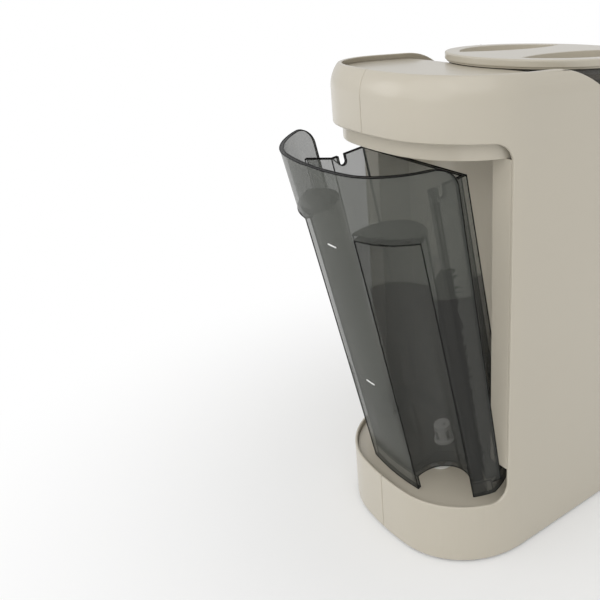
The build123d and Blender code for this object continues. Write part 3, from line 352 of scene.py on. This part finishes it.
def smokeFinish(name, look):
    # see-through moulding: the depth attribute says how much plastic lies behind a face
    made = Finish(name)
    depth = made.node("ShaderNodeAttribute", {"attribute_name": "depth"}, output="Fac")
    glance = made.node("ShaderNodeLayerWeight", values={"Blend": 0.35}, output="Facing")
    height = made.node("ShaderNodeSeparateXYZ", values={"Vector": made.place}, output="Z")
    back = made.vectors("DOT_PRODUCT", made.place, tankBack, "Value")
    streak = made.noise(1.0, 3.0, 0.55, made.stretched((60.0, 60.0, 9.0)))
    haze = made.noise(900.0)
    # painted shade: the chamber below the shade height gets the darker colour and more opacity,
    # standing for the bay's shadow seen through the tank
    below = (back < look["front"]) * (height < look["shadeHeight"])
    shadow = made.node("ShaderNodeLightPath", output="Is Shadow Ray")
    unseen = shadow + made.other(shadow, "Is Diffuse Ray")
    thin = look["thin"] + look["shadeOpacity"] * below + look["glance"] * glance * glance
    solid = thin + (look["deep"] - thin) * depth + 0.05 * (streak - 0.5)
    body = made.mix(below, look["upper"], look["lower"])
    return made.surface(
        Base_Color=made.mix(depth, body, look["edge"]),
        Roughness=0.16 + 0.05 * haze,
        Specular_IOR_Level=look["gloss"],
        IOR=look["bend"],
        Alpha=solid * (1 - look["lets"] * unseen),
        Normal=made.bump(streak, 0.04, 0.0004),
    )


def metalFinish(name, colour, roughness, lie):
    # drawn or turned metal, its fine lines running along lie
    made = Finish(name)
    lines = made.noise(1.0, 3.0, 0.6, made.stretched(lie))
    return made.surface(
        Base_Color=made.mix(lines, colour, tuple(c * 0.86 for c in colour)),
        Metallic=1.0,
        Roughness=roughness + 0.18 * (lines - 0.5),
        Normal=made.bump(lines, 0.2, 0.00005),
    )


def boardFinish(name):
    # solder mask over copper runs, with a little silk-white at the pads
    made = Finish(name)
    rows = {"Scale": 120.0, "Mortar Size": 0.03, "Brick Width": 0.6, "Row Height": 0.2}
    runs = made.node("ShaderNodeTexBrick", {"offset": 0.5}, {"Vector": made.place} | rows, "Fac")
    pads = made.node("ShaderNodeTexVoronoi", values={"Vector": made.place, "Scale": 260.0}) < 0.16
    mask = made.mix(runs, (0.012, 0.085, 0.035), (0.03, 0.15, 0.06))
    return made.surface(
        Base_Color=made.mix(pads, mask, (0.72, 0.70, 0.60)),
        Roughness=0.35 + 0.2 * pads,
        Normal=made.bump(runs, 0.3, 0.00005),
    )


def rubberFinish(name, colour, roughness=0.75):
    made = Finish(name)
    fine = made.noise(1700.0, 4.0, 0.7)
    bloom = made.noise(60.0, 3.0)
    return made.surface(
        Base_Color=made.mix(bloom, colour, tuple(min(1, c * 1.25 + 0.01) for c in colour)),
        Roughness=roughness + 0.1 * (fine - 0.5),
        Normal=made.bump(fine, 0.3, 0.0001),
    )


panelLook = {"colour": (0.010, 0.010, 0.012), "warm": (0.014, 0.014, 0.015), "roughness": 0.12}
paneLook = {"colour": (0.004, 0.004, 0.005), "warm": (0.006, 0.006, 0.007), "roughness": 0.06}
finishes = {
    "housing_plastic": glossFinish("greige_gloss", housingLook),
    "inner_plastic": satinFinish("greige_satin", (0.49, 0.455, 0.39)),
    "smoke_clear": smokeFinish("smoke_clear", tankLook),
    "dark_smoke": smokeFinish("dark_smoke", drumLook),
    "white_plastic": satinFinish("natural_white", (0.74, 0.735, 0.70), 0.38),
    "gear_plastic": satinFinish("natural_acetal", (0.78, 0.75, 0.62), 0.35),
    "dark_plastic": satinFinish("black_satin", (0.018, 0.018, 0.020), 0.45),
    "panel_gloss": glossFinish("black_gloss", panelLook),
    "button_plastic": glossFinish("greige_button", housingLook | {"roughness": 0.34}),
    "display_glass": glossFinish("display_black", paneLook),
    "circuit_board": boardFinish("circuit_board"),
    "rubber": rubberFinish("black_rubber", (0.020, 0.020, 0.020)),
    "silicone": rubberFinish("silicone", (0.60, 0.60, 0.57), 0.42),
    "steel": metalFinish("bright_steel", (0.62, 0.62, 0.63), 0.3, (300.0, 300.0, 2400.0)),
    "heater_metal": metalFinish("cast_aluminium", (0.75, 0.76, 0.77), 0.5, (900.0, 900.0, 900.0)),
}
for name, node in frame["nodes"].items():
    node.data.materials.clear()
    node.data.materials.append(finishes[slotOf[name]])
print("finishes made:", len(finishes))


weld = {"same": 2e-6, "short": 0.0001}  # metres: spots that are one, and edges too short to keep


def merged(node, crease):
    # a copy of the node's mesh, its loose triangles joined and flat faces made whole
    mesh = frame["nodes"][node].data.copy()
    shape = bmesh.new()
    shape.from_mesh(mesh)
    bmesh.ops.remove_doubles(shape, verts=shape.verts, dist=weld["same"])
    if crease:
        whole = {"verts": shape.verts, "edges": shape.edges, "delimit": {"NORMAL"}}
        bmesh.ops.dissolve_limit(shape, angle_limit=math.radians(crease), **whole)
    bmesh.ops.remove_doubles(shape, verts=shape.verts, dist=weld["short"])
    bmesh.ops.recalc_face_normals(shape, faces=shape.faces)
    shape.to_mesh(mesh)
    shape.free()
    return mesh


def shaded(mesh, angle=32):
    mesh.polygons.foreach_set("use_smooth", [True] * len(mesh.polygons))
    mesh.set_sharp_from_angle(angle=math.radians(angle))


def shapeOf(node, name, crease=0.6):
    mesh = merged(node, crease)
    mesh.name = name
    mesh.materials.clear()
    mesh.materials.append(finishes[slotOf[node]])
    shaded(mesh)
    return added(name, mesh)


def roundEdges(piece, width, steps):
    # bevels the sharp edges, each as wide as its shortest neighbour leaves room for
    share = 0.42  # of that neighbour
    shape = bmesh.new()
    shape.from_mesh(piece.data)
    weights = shape.edges.layers.float.new("bevel_weight_edge")
    room = {v: min(e.calc_length() for e in v.link_edges) for v in shape.verts}
    for line in shape.edges:
        if len(line.link_faces) == 2 and line.calc_face_angle(0) > sharpTurn:
            line[weights] = min(1.0, share * min(room[v] for v in line.verts) / (width * mm))
    shape.to_mesh(piece.data)
    shape.free()
    bevel = piece.modifiers.new("edges", "BEVEL")
    bevel.width = width * mm
    bevel.segments = steps
    bevel.limit_method = "WEIGHT"
    bevel.use_clamp_overlap = False


def weighNormals(piece):
    normals = piece.modifiers.new("normals", "WEIGHTED_NORMAL")
    normals.keep_sharp = True
    normals.weight = 60


def hand(piece, node):
    # gives the piece to the body of the node it stands for
    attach(piece, bodyOf[node])
    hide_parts(node)
    return piece


def dress(node, name, edge=0.4, steps=2, crease=0.6):
    piece = shapeOf(node, name, crease)
    roundEdges(piece, edge, steps)
    weighNormals(piece)
    hand(piece, node)


shells = {"edge": 0.8, "steps": 3}
dress("left_housing", "left_shell", **shells)
dress("right_housing", "right_shell", **shells)

bay = {
    "tank_bay_liner": ("bay_channel", 0.5),
    "bay_collar": ("bay_plug", 0.5),
    "tank_tray": ("tray_floor", 0.4),
    "tank_socket": ("tank_socket_seat", 0.25),
    "top_deck": ("deck_sheet", 0.3),
}
for node, (name, edge) in bay.items():
    dress(node, name, edge, shells["steps"])

front = {
    "bottle_bay_liner": ("recess_lining", 0.4),
    "base_deck": ("recess_floor", 0.4),
    "drip_tray": ("drip_pan", 0.4),
    "drip_grate": ("drip_slats", 0.4),
    "mixing_funnel": ("funnel_drawer", 0.4),
    "control_panel": ("fascia", 0.3),
    "display_window": ("display_pane", 0.15),
    "power_button": ("power_key", 0.6),
    "volume_button": ("volume_key", 0.6),
    "warmth_button": ("warmth_key", 0.6),
    "start_button": ("start_key", 0.6),
    "switch_frame": ("switch_bezel", 0.3),
    "power_rocker": ("switch_rocker", 0.4),
    "cord_gland": ("lead_bush", 0.4),
    "powder_chute": ("chute_tube", 0.3),
    "water_nozzle": ("nozzle_tip", 0.3),
    "bottom_cover": ("base_plate", 0.4),
}
for node, (name, edge) in front.items():
    dress(node, name, edge)

hopperWorks = {
    "hopper_seat": ("hopper_cup", 0.4),
    "scraper_plate": ("leveller", 0.3),
    "dosing_wheel": ("dose_wheel", 0.4),
    "hopper_spindle": ("spindle", 0.3),
    "agitator": ("stirrer", 0.4),
    "lid_seal": ("lid_ring", 0.3),
    "drive_gear": ("dog_gear", 0.12),
    "drive_plate": ("drive_shelf", 0.3),
}
for node, (name, edge) in hopperWorks.items():
    dress(node, name, edge)
dress("hopper_lid", "lid_disc", 0.5, crease=0)  # its flat face folds over the pockets if made whole
print("rigid pieces dressed")


def markDepth(mesh, look):
    # 1 on patches no wider than a wall, seen edge on, less on ledges and side walls, 0 on broad faces
    shape = bmesh.new()
    shape.from_mesh(mesh)
    depths = {}
    for first in shape.faces:
        if first in depths:
            continue
        patch, rim, waiting = [], 0.0, [first]
        depths[first] = 0.0
        while waiting:
            face = waiting.pop()
            patch.append(face)
            for line in face.edges:
                if len(line.link_faces) == 2 and line.calc_face_angle(0) < sharpTurn:
                    for other in line.link_faces:
                        if other not in depths:
                            depths[other] = 0.0
                            waiting.append(other)
                else:
                    rim += line.calc_length()
        narrow = rim and 2 * sum(f.calc_area() for f in patch) / rim < look["rim"] * mm
        for face in patch:
            level = abs(face.normal.dot(look["axis"])) > look["level"]
            spot = face.calc_center_median()
            high = spot.dot(look["axis"]) > look["above"]
            near, far = look["sides"]
            side = abs(spot.x) > look["past"] * mm and near < spot.dot(tankBack) < far
            low = max(v.co.dot(look["axis"]) for v in face.verts) < look["under"]
            wing = look["wing"] * (side and low and not level)
            depths[face] = 1.0 if narrow else max(wing, look["ledge"] * (level and high))
    values = [depths[face] for face in shape.faces]
    shape.free()
    mesh.attributes.new("depth", "FLOAT", "FACE").data.foreach_set("value", values)


def edgeRecipe():
    # runs a fine dark thread just inside every sharp edge of a clear moulding
    inputs = {"Radius": 0.0004, "Inset": 0.0001, "Sharp": 0.6, "Rearmost": 1.0}
    made = Recipe("edge_threads", inputs | {"Bare Spot": (0.0, 0.0, 0.0), "Bare Radius": 0.0})
    whole = Value(made, made.inlet.outputs["Geometry"])
    bend = made.node("GeometryNodeInputMeshEdgeAngle")
    inward = {0: made.node("GeometryNodeInputNormal"), "Scale": 0 - made.given("Inset")}
    shift = made.node("ShaderNodeVectorMath", {"operation": "SCALE"}, inward)
    inset = made.node("GeometryNodeSetPosition", values={"Geometry": whole, "Offset": shift})
    spot = made.node("ShaderNodeSeparateXYZ", values={"Vector": made.node("GeometryNodeInputPosition")})
    reach = made.maths("MINIMUM", made.other(spot, "Y"), made.given("Rearmost"))
    held = made.node("ShaderNodeCombineXYZ", values={"X": spot, "Y": reach, "Z": made.other(spot, "Z")})
    inner = made.node("GeometryNodeSetPosition", values={"Geometry": inset, "Position": held})
    limit = {0: bend, 1: made.given("Sharp")}
    sharp = made.node("FunctionNodeCompare", {"operation": "GREATER_THAN"}, limit)
    here = made.node("GeometryNodeInputPosition")
    apart = made.vectors("DISTANCE", here, made.given("Bare Spot"), "Value")
    chosen = sharp * (apart > made.given("Bare Radius"))
    path = made.node("GeometryNodeMeshToCurve", values={"Mesh": inner, "Selection": chosen})
    thread = made.tube(path, made.given("Radius"), 6)
    marked = made.node(
        "GeometryNodeStoreNamedAttribute",
        {"data_type": "FLOAT", "domain": "FACE"},
        {"Geometry": thread, "Name": "depth", "Value": 1.0},
    )
    return made, made.join(whole, marked)


def outlined(node, look):
    # a see-through moulding, marked so that its rims, ledges and edges show dark
    piece = shapeOf(node, look["name"], 0)
    markDepth(piece.data, look)
    weighNormals(piece)
    plain(piece)
    made, both = edgeRecipe()
    made.close(both, finishes[slotOf[node]])
    return hand(made.run(piece, look["thread"]), node)


tankMarks = {
    "name": "clear_tank",
    "axis": tankAxis,
    "rim": 2.4,  # width in millimetres up to which a patch is a wall seen edge on
    "level": 0.96,  # how square to the axis a ledge's face is
    "ledge": 0.9,  # how deep a ledge looks, where a rim is 1
    "above": tankAxis.dot(place(0, 60, 150)),  # height along the axis from which ledges are marked
    "wing": 0.5,  # how deep the side walls look
    "past": 52.0,  # millimetres from the middle at which they begin
    "sides": (tankBack.dot(lean(0, 38, 70)), tankBack.dot(lean(0, 63, 70))),  # from front to back
    "under": tankAxis.dot(lean(0, 60, 206)),  # height along the axis up to which they are marked
    "thread": {
        "Radius": 0.00036,
        "Inset": 0.0001,
        "Rearmost": cadBox[1].y - 0.0005,
        # no thread runs round the outlet
        "Bare Spot": sum(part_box("valve_seal"), Vector()) / 2 - 4 * mm * tankAxis,
        "Bare Radius": 0.014,
    },
}
drumMarks = {
    "name": "powder_drum",
    "axis": Vector((0, 0, 1)),
    "rim": 3.0,
    "level": 0.96,
    "ledge": 0.5,
    "above": 0.26,
    "wing": 0.0,
    "past": 0.0,
    "sides": (0.0, 0.0),
    "under": 0.0,
    "thread": {"Radius": 0.0003, "Inset": 0.0001, "Rearmost": 1.0},
}
tank = outlined("water_tank", tankMarks)
outlined("powder_hopper", drumMarks)
print("see-through pieces dressed")


def turned(name, profile, steps=48):
    # a solid turned about the z axis from (radius, height) points in millimetres, axis to axis upwards
    spots, rings, faces = [], [], []
    for radius, height in profile:
        count = steps if radius else 1
        rings.append([len(spots) + i for i in range(count)])
        turns = [math.tau * i / steps for i in range(count)]
        spots += [(radius * mm * math.cos(t), radius * mm * math.sin(t), height * mm) for t in turns]
    for low, high in zip(rings, rings[1:]):
        for i in range(steps):
            walk = ((low, i), (low, i + 1), (high, i + 1), (high, i))
            faces.append(list(dict.fromkeys(ring[k % len(ring)] for ring, k in walk)))
    mesh = bpy.data.meshes.new(name)
    mesh.from_pydata(spots, [], faces)
    return bpy.data.objects.new(name, mesh)


def looseParts(node):
    # the middle of every separate solid of a node, in the frame, in the order of its corners
    shape = bmesh.new()
    shape.from_mesh(merged(node, 0))
    seen, middles = set(), []
    for first in shape.verts:
        if first in seen:
            continue
        seen.add(first)
        found, reached = [], [first]
        while reached:
            spot = reached.pop()
            found.append(spot.co.copy())
            for line in spot.link_edges:
                other = line.other_vert(spot)
                if other not in seen:
                    seen.add(other)
                    reached.append(other)
        spans = [(min(c[i] for c in found), max(c[i] for c in found)) for i in range(3)]
        middles.append(Vector([(low + high) / 2 for low, high in spans]))
    shape.free()
    return middles


def pointsPiece(name, points, lines=()):
    mesh = bpy.data.meshes.new(name)
    mesh.from_pydata([tuple(p) for p in points], lines, [])
    return added(name, mesh)


def rowRecipe(name, master, cross=None):
    # sets a turned solid on every point, with a cross sunk in its face where one is wanted
    made = Recipe(name, {"Cross Width": 0.0007, "Cross Length": 0.0034, "Cross Depth": 0.0011})
    whole = Value(made, made.inlet.outputs["Geometry"])
    solid = made.node("GeometryNodeObjectInfo", values={"Object": master}, output="Geometry")
    if cross is not None:
        width, length, depth = [made.given("Cross " + side) for side in ("Width", "Length", "Depth")]
        cuts = []
        for across, along in ((width, length), (length, width)):
            size = made.node("ShaderNodeCombineXYZ", values={"X": across, "Y": along, "Z": depth})
            bar = made.node("GeometryNodeMeshCube", values={"Size": size})
            cuts.append(made.raised(bar, cross * mm))
        cut = made.tree.nodes.new("GeometryNodeMeshBoolean")
        cut.operation = "DIFFERENCE"
        made.tree.links.new(solid.socket, cut.inputs["Mesh 1"])
        for bar in cuts:
            made.tree.links.new(bar.socket, cut.inputs["Mesh 2"])
        solid = Value(made, cut.outputs["Mesh"])
    return made, made.node("GeometryNodeInstanceOnPoints", values={"Points": whole, "Instance": solid})


def setOut(node, name, profile, cross=None):
    # one turned solid for each solid of the node
    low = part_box(node)[0].z
    piece = pointsPiece(name, [(c.x, c.y, low) for c in looseParts(node)])
    made, row = rowRecipe(name + "_row", turned(name + "_master", profile), cross)
    made.close(row, finishes[slotOf[node]])
    made.run(piece)
    shaded(piece.data)
    hand(piece, node)


# profiles as (radius, height) in millimetres from the bottom of the node
feet = {"profile": [(0, 0.5), (5.4, 0.5), (5.9, 0), (8.2, 0), (8.75, 0.25), (9, 0.8), (9, 3), (0, 3)]}
screws = {
    "profile": [(0, 0), (2.5, 0), (2.9, 0.2), (3, 0.6), (3, 1.6), (1.2, 1.6), (1.2, 6.5), (0, 6.7)],
    "cross": 0.0,  # height of its cross
}
setOut("rubber_feet", "foot_pads", feet["profile"])
setOut("base_screws", "cover_screws", screws["profile"], screws["cross"])


spring = {
    "wire": 0.3,
    "turns": 4.0,
    "steps": 40,
    "ends": 2.2,  # length left free at both ends together, in wires
    "travel": 3.0,  # millimetres by which the plunger shortens it
}


def coilRecipe(look):
    made = Recipe("valve_coil", {"Turns": 4.0, "Coil Radius": 0.003, "Wire": 0.0003, "Length": 0.01})
    path = made.node(
        "GeometryNodeCurveSpiral",
        values={
            "Resolution": look["steps"],
            "Rotations": made.given("Turns"),
            "Start Radius": made.given("Coil Radius"),
            "End Radius": made.given("Coil Radius"),
            "Height": made.given("Length"),
        },
    )
    wire = made.tube(path, made.given("Wire"), 10)
    return made, made.raised(wire, -0.5 * made.given("Length"))


def setSpring(look):
    # a coil that fills the node's own box along the tank's axis
    spots = [v.co for v in frame["nodes"]["valve_spring"].data.vertices]
    tall = max(c.dot(tankAxis) for c in spots) - min(c.dot(tankAxis) for c in spots)
    middle = sum(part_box("valve_spring"), Vector()) / 2
    sizes = {
        "Turns": look["turns"],
        "Coil Radius": max(c.x for c in spots) - middle.x - look["wire"] * mm,
        "Wire": look["wire"] * mm,
        "Length": tall - look["ends"] * look["wire"] * mm,
    }
    made, wire = coilRecipe(look)
    made.close(wire, finishes[slotOf["valve_spring"]])
    coil = made.run(added("valve_coil", bpy.data.meshes.new("valve_coil")), sizes)
    coil.data.transform(Matrix.Translation(middle) @ Matrix.Rotation(-tilt, 4, "X"))
    shaded(coil.data, 60)
    hand(coil, "valve_spring")
    end = middle + tankAxis * tall / 2
    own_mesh(coil)


setSpring(spring)
print("feet, screws and spring set out")


def inkRecipe(name, target):
    # lays lines on the face of a piece and draws a fine raised stroke along each
    made = Recipe(name, {"Stroke": 0.0003, "Toward": (0.0, 1.0, 0.0), "Reach": 0.03})
    whole = Value(made, made.inlet.outputs["Geometry"])
    onto = made.node(
        "GeometryNodeObjectInfo", {"transform_space": "ORIGINAL"}, {"Object": target}, "Geometry"
    )
    path = made.node("GeometryNodeMeshToCurve", values={"Mesh": whole})
    fine = made.node("GeometryNodeResampleCurve", values={"Curve": path, "Count": 12})
    spot = made.node("GeometryNodeInputPosition")
    struck = made.node(
        "GeometryNodeRaycast",
        {"data_type": "FLOAT"},
        {
            "Target Geometry": onto,
            "Source Position": spot,
            "Ray Direction": made.given("Toward"),
            "Ray Length": made.given("Reach"),
        },
        output="Hit Position",
    )
    laid = made.node("GeometryNodeSetPosition", values={"Geometry": fine, "Position": struck})
    return made, made.tube(laid, made.given("Stroke"), 8)


def inked(name, node, target, runs, look):
    # strokes along runs of points, riding with the node and laid on the target piece
    points, lines = [], []
    for run in runs:
        first = len(points)
        points += run
        lines += [(first + i, first + i + 1) for i in range(len(run) - 1)]
    made, strokes = inkRecipe(name + "_ink", target)
    made.close(strokes, look["finish"])
    settings = {"Stroke": look["stroke"] * mm, "Toward": look["toward"]}
    piece = made.run(pointsPiece(name, points, lines), settings)
    shaded(piece.data, 60)
    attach(piece, bodyOf[node])


ticks = {
    "heights": (117.0, 212.5),
    "from": 2.0,
    "to": -6.0,
    "behind": 80.0,
    "stroke": 0.42,
    "toward": tuple(-tankBack),
    "finish": satinFinish("white_ink", (0.80, 0.80, 0.79), 0.5),
}
ends = (ticks["from"], ticks["to"])
dashes = [[lean(x, ticks["behind"], height) for x in ends] for height in ticks["heights"]]
inked("level_ticks", "water_tank", tank, dashes, ticks)

faceFront = -0.145  # a plane in front of the machine's face, in metres


def ahead(x, z):
    # a spot on that plane, from millimetres
    return Vector((x * mm, faceFront, z * mm))


def lineRun(*spots):
    return [ahead(x, z) for x, z in spots]


def arcRun(x, z, radius, start, end, steps=18):
    turns = [math.radians(start + (end - start) * i / steps) for i in range(steps + 1)]
    return [ahead(x + radius * math.cos(t), z + radius * math.sin(t)) for t in turns]


digits = {
    "text": "180",
    "width": 5.0,
    "height": 9.6,
    "pitch": 9.0,
    "at": (0.0, 246.0),
    "gap": 0.55,
    "segments": {"1": "bc", "8": "abcdefg", "0": "abcdef"},
    "stroke": 0.36,
    "toward": (0, 1, 0),
}


def digitRuns(look):
    wide, tall, gap = look["width"] / 2, look["height"] / 2, look["gap"]
    ends = {
        "a": ((-wide + gap, tall), (wide - gap, tall)),
        "b": ((wide, tall - gap), (wide, gap)),
        "c": ((wide, -gap), (wide, -tall + gap)),
        "d": ((-wide + gap, -tall), (wide - gap, -tall)),
        "e": ((-wide, -gap), (-wide, -tall + gap)),
        "f": ((-wide, tall - gap), (-wide, gap)),
        "g": ((-wide + gap, 0), (wide - gap, 0)),
    }
    runs = []
    for i, sign in enumerate(look["text"]):
        x, z = look["at"]
        x += (i - (len(look["text"]) - 1) / 2) * look["pitch"]
        for bar in look["segments"][sign]:
            runs.append(lineRun(*[(x + across, z + up) for across, up in ends[bar]]))
    return runs


def litFinish(name):
    # a softly glowing segment
    made = Finish(name)
    return made.surface(
        Base_Color=(0.75, 0.82, 0.82),
        Emission_Color=(0.80, 0.95, 0.95),
        Emission_Strength=0.9,
        Roughness=0.4 + 0.05 * made.noise(900.0),
    )


digits["finish"] = litFinish("display_light")
inked("display_digits", "display_window", bpy.data.objects["display_pane"], digitRuns(digits), digits)

signs = {
    "stroke": 0.24,
    "toward": (0, 1, 0),
    "finish": satinFinish("dark_ink", (0.045, 0.042, 0.038), 0.5),
}
keys = {
    "power_button": (
        "power_key",
        [
            arcRun(-24, 225, 2.6, 120, 420),
            lineRun((-24, 225.6), (-24, 228.4)),
        ],
    ),
    "volume_button": (
        "volume_key",
        [
            lineRun((-10.4, 228.4), (-9.8, 222), (-6.2, 222), (-5.6, 228.4), (-10.4, 228.4)),
            lineRun((-10.1, 225.6), (-5.9, 225.6)),
        ],
    ),
    "warmth_button": (
        "warmth_key",
        [
            arcRun(8, 222.9, 1.5, 115, 425),
            lineRun((7.35, 224.3), (7.35, 227.6)),
            lineRun((8.65, 224.3), (8.65, 227.6)),
            arcRun(8, 227.6, 0.65, 0, 180, 8),
        ],
    ),
    "start_button": ("start_key", [lineRun((22.6, 222.2), (22.6, 227.8), (27, 225), (22.6, 222.2))]),
}
for node, (name, runs) in keys.items():
    inked(name + "_sign", node, bpy.data.objects[name], runs, signs)
print("ticks, digits and key signs drawn")

studio = {
    "floor": (0.87, 0.87, 0.865),
    "reach": 6.0,  # half the floor's width
    "shade": 0.85,  # share of the floor's own shading that shows beside the machine
    "near": 0.12,  # distance up to which it does
    "clear": 0.42,  # distance at which the floor has faded to white
    "sky": 0.75,
    "lamps": {
        "key": {"at": (-1.3, 0.7, 1.8), "size": 2.0, "power": 8.0},
        "rear": {"at": (-0.4, 1.9, 1.2), "size": 2.4, "power": 11.0},
        "corner": {"at": (0.9, 1.3, 0.7), "size": 0.9, "power": 3.0},
    },
}


def backdropFinish(name, look):
    # a pale floor that fades to white away from the machine, where a camera or a gloss sees it
    made = Finish(name)
    path = made.node("ShaderNodeLightPath", output="Is Camera Ray")
    seen = path + made.other(path, "Is Glossy Ray") + made.other(path, "Is Transmission Ray")
    away = made.node("ShaderNodeVectorMath", {"operation": "LENGTH"}, {0: made.place}, output="Value")
    fade = {"From Min": look["near"], "From Max": look["clear"], "To Min": look["shade"], "To Max": 0.0}
    near = made.node("ShaderNodeMapRange", {"interpolation_type": "SMOOTHSTEP"}, {"Value": away} | fade)
    lit = made.node("ShaderNodeBsdfDiffuse", values={"Color": (*look["floor"], 1)})
    glow = made.node("ShaderNodeEmission", values={"Color": (1, 1, 1, 1), "Strength": 1.0})
    share = made.maths("MINIMUM", seen, 1.0) * (1 - near)
    made.close(made.node("ShaderNodeMixShader", values={0: share, 1: lit, 2: glow}))
    return made.material


def layFloor(look):
    wide = look["reach"]
    mesh = bpy.data.meshes.new("floor")
    corners = [(-wide, -wide, 0), (wide, -wide, 0), (wide, wide, 0), (-wide, wide, 0)]
    mesh.from_pydata(corners, [], [(0, 1, 2, 3)])
    mesh.materials.append(backdropFinish("pale_floor", look))
    floor = added("floor", mesh)


def hangSky(look):
    # white where the camera or clear plastic sees it, softer where it lights
    world = bpy.data.worlds.new("studio")
    bpy.context.scene.world = world
    world.use_nodes = True
    made = Graph(world.node_tree)
    made.tree.nodes.clear()
    path = made.node("ShaderNodeLightPath", output="Is Camera Ray")
    seen = made.maths("MINIMUM", path + made.other(path, "Is Transmission Ray"), 1.0)
    strength = look["sky"] + seen * (1 - look["sky"])
    glow = made.node("ShaderNodeBackground", values={"Color": (1, 1, 1, 1), "Strength": strength})
    end = made.tree.nodes.new("ShaderNodeOutputWorld")
    made.tree.links.new(glow.socket, end.inputs["Surface"])


def hangLamp(name, lamp, centre):
    # a round lamp that faces the machine
    data = bpy.data.lights.new(name, "AREA")
    data.shape = "DISK"
    data.size = lamp["size"]
    data.energy = lamp["power"]
    light = added(name, data)
    light.location = lamp["at"]
    light.rotation_euler = (centre - Vector(lamp["at"])).to_track_quat("-Z", "Y").to_euler()


layFloor(studio)
hangSky(studio)
for name, lamp in studio["lamps"].items():
    hangLamp(name, lamp, (cadBox[0] + cadBox[1]) / 2)
print("studio set")

view = {
    "at": (-0.3319, 0.30345, 0.3423),
    "pitch": 0.354,
    "heading": 0.848,
    "lens": 42.856,
    "shift": (-0.2958, -0.0818),
}


def aim(look):
    # camera axes from its heading and pitch
    level = Vector((math.sin(look["heading"]), -math.cos(look["heading"]), 0))
    forward = level * math.cos(look["pitch"]) - Vector((0, 0, math.sin(look["pitch"])))
    right = forward.cross(Vector((0, 0, 1))).normalized()
    up = right.cross(forward)
    return Matrix.Translation(look["at"]) @ Matrix((right, up, -forward)).transposed().to_4x4()


cameraData = bpy.data.cameras.new("camera")
cameraData.sensor_width = 36
cameraData.lens = view["lens"]
cameraData.shift_x, cameraData.shift_y = view["shift"]
cameraData.clip_start = 0.01
camera = added("camera", cameraData)
camera.matrix_world = aim(view)
bpy.context.scene.camera = camera
bpy.context.scene.view_settings.view_transform = "Standard"
bpy.context.scene.cycles.transparent_max_bounces = 32  # the tank has many clear walls

print("scene complete")
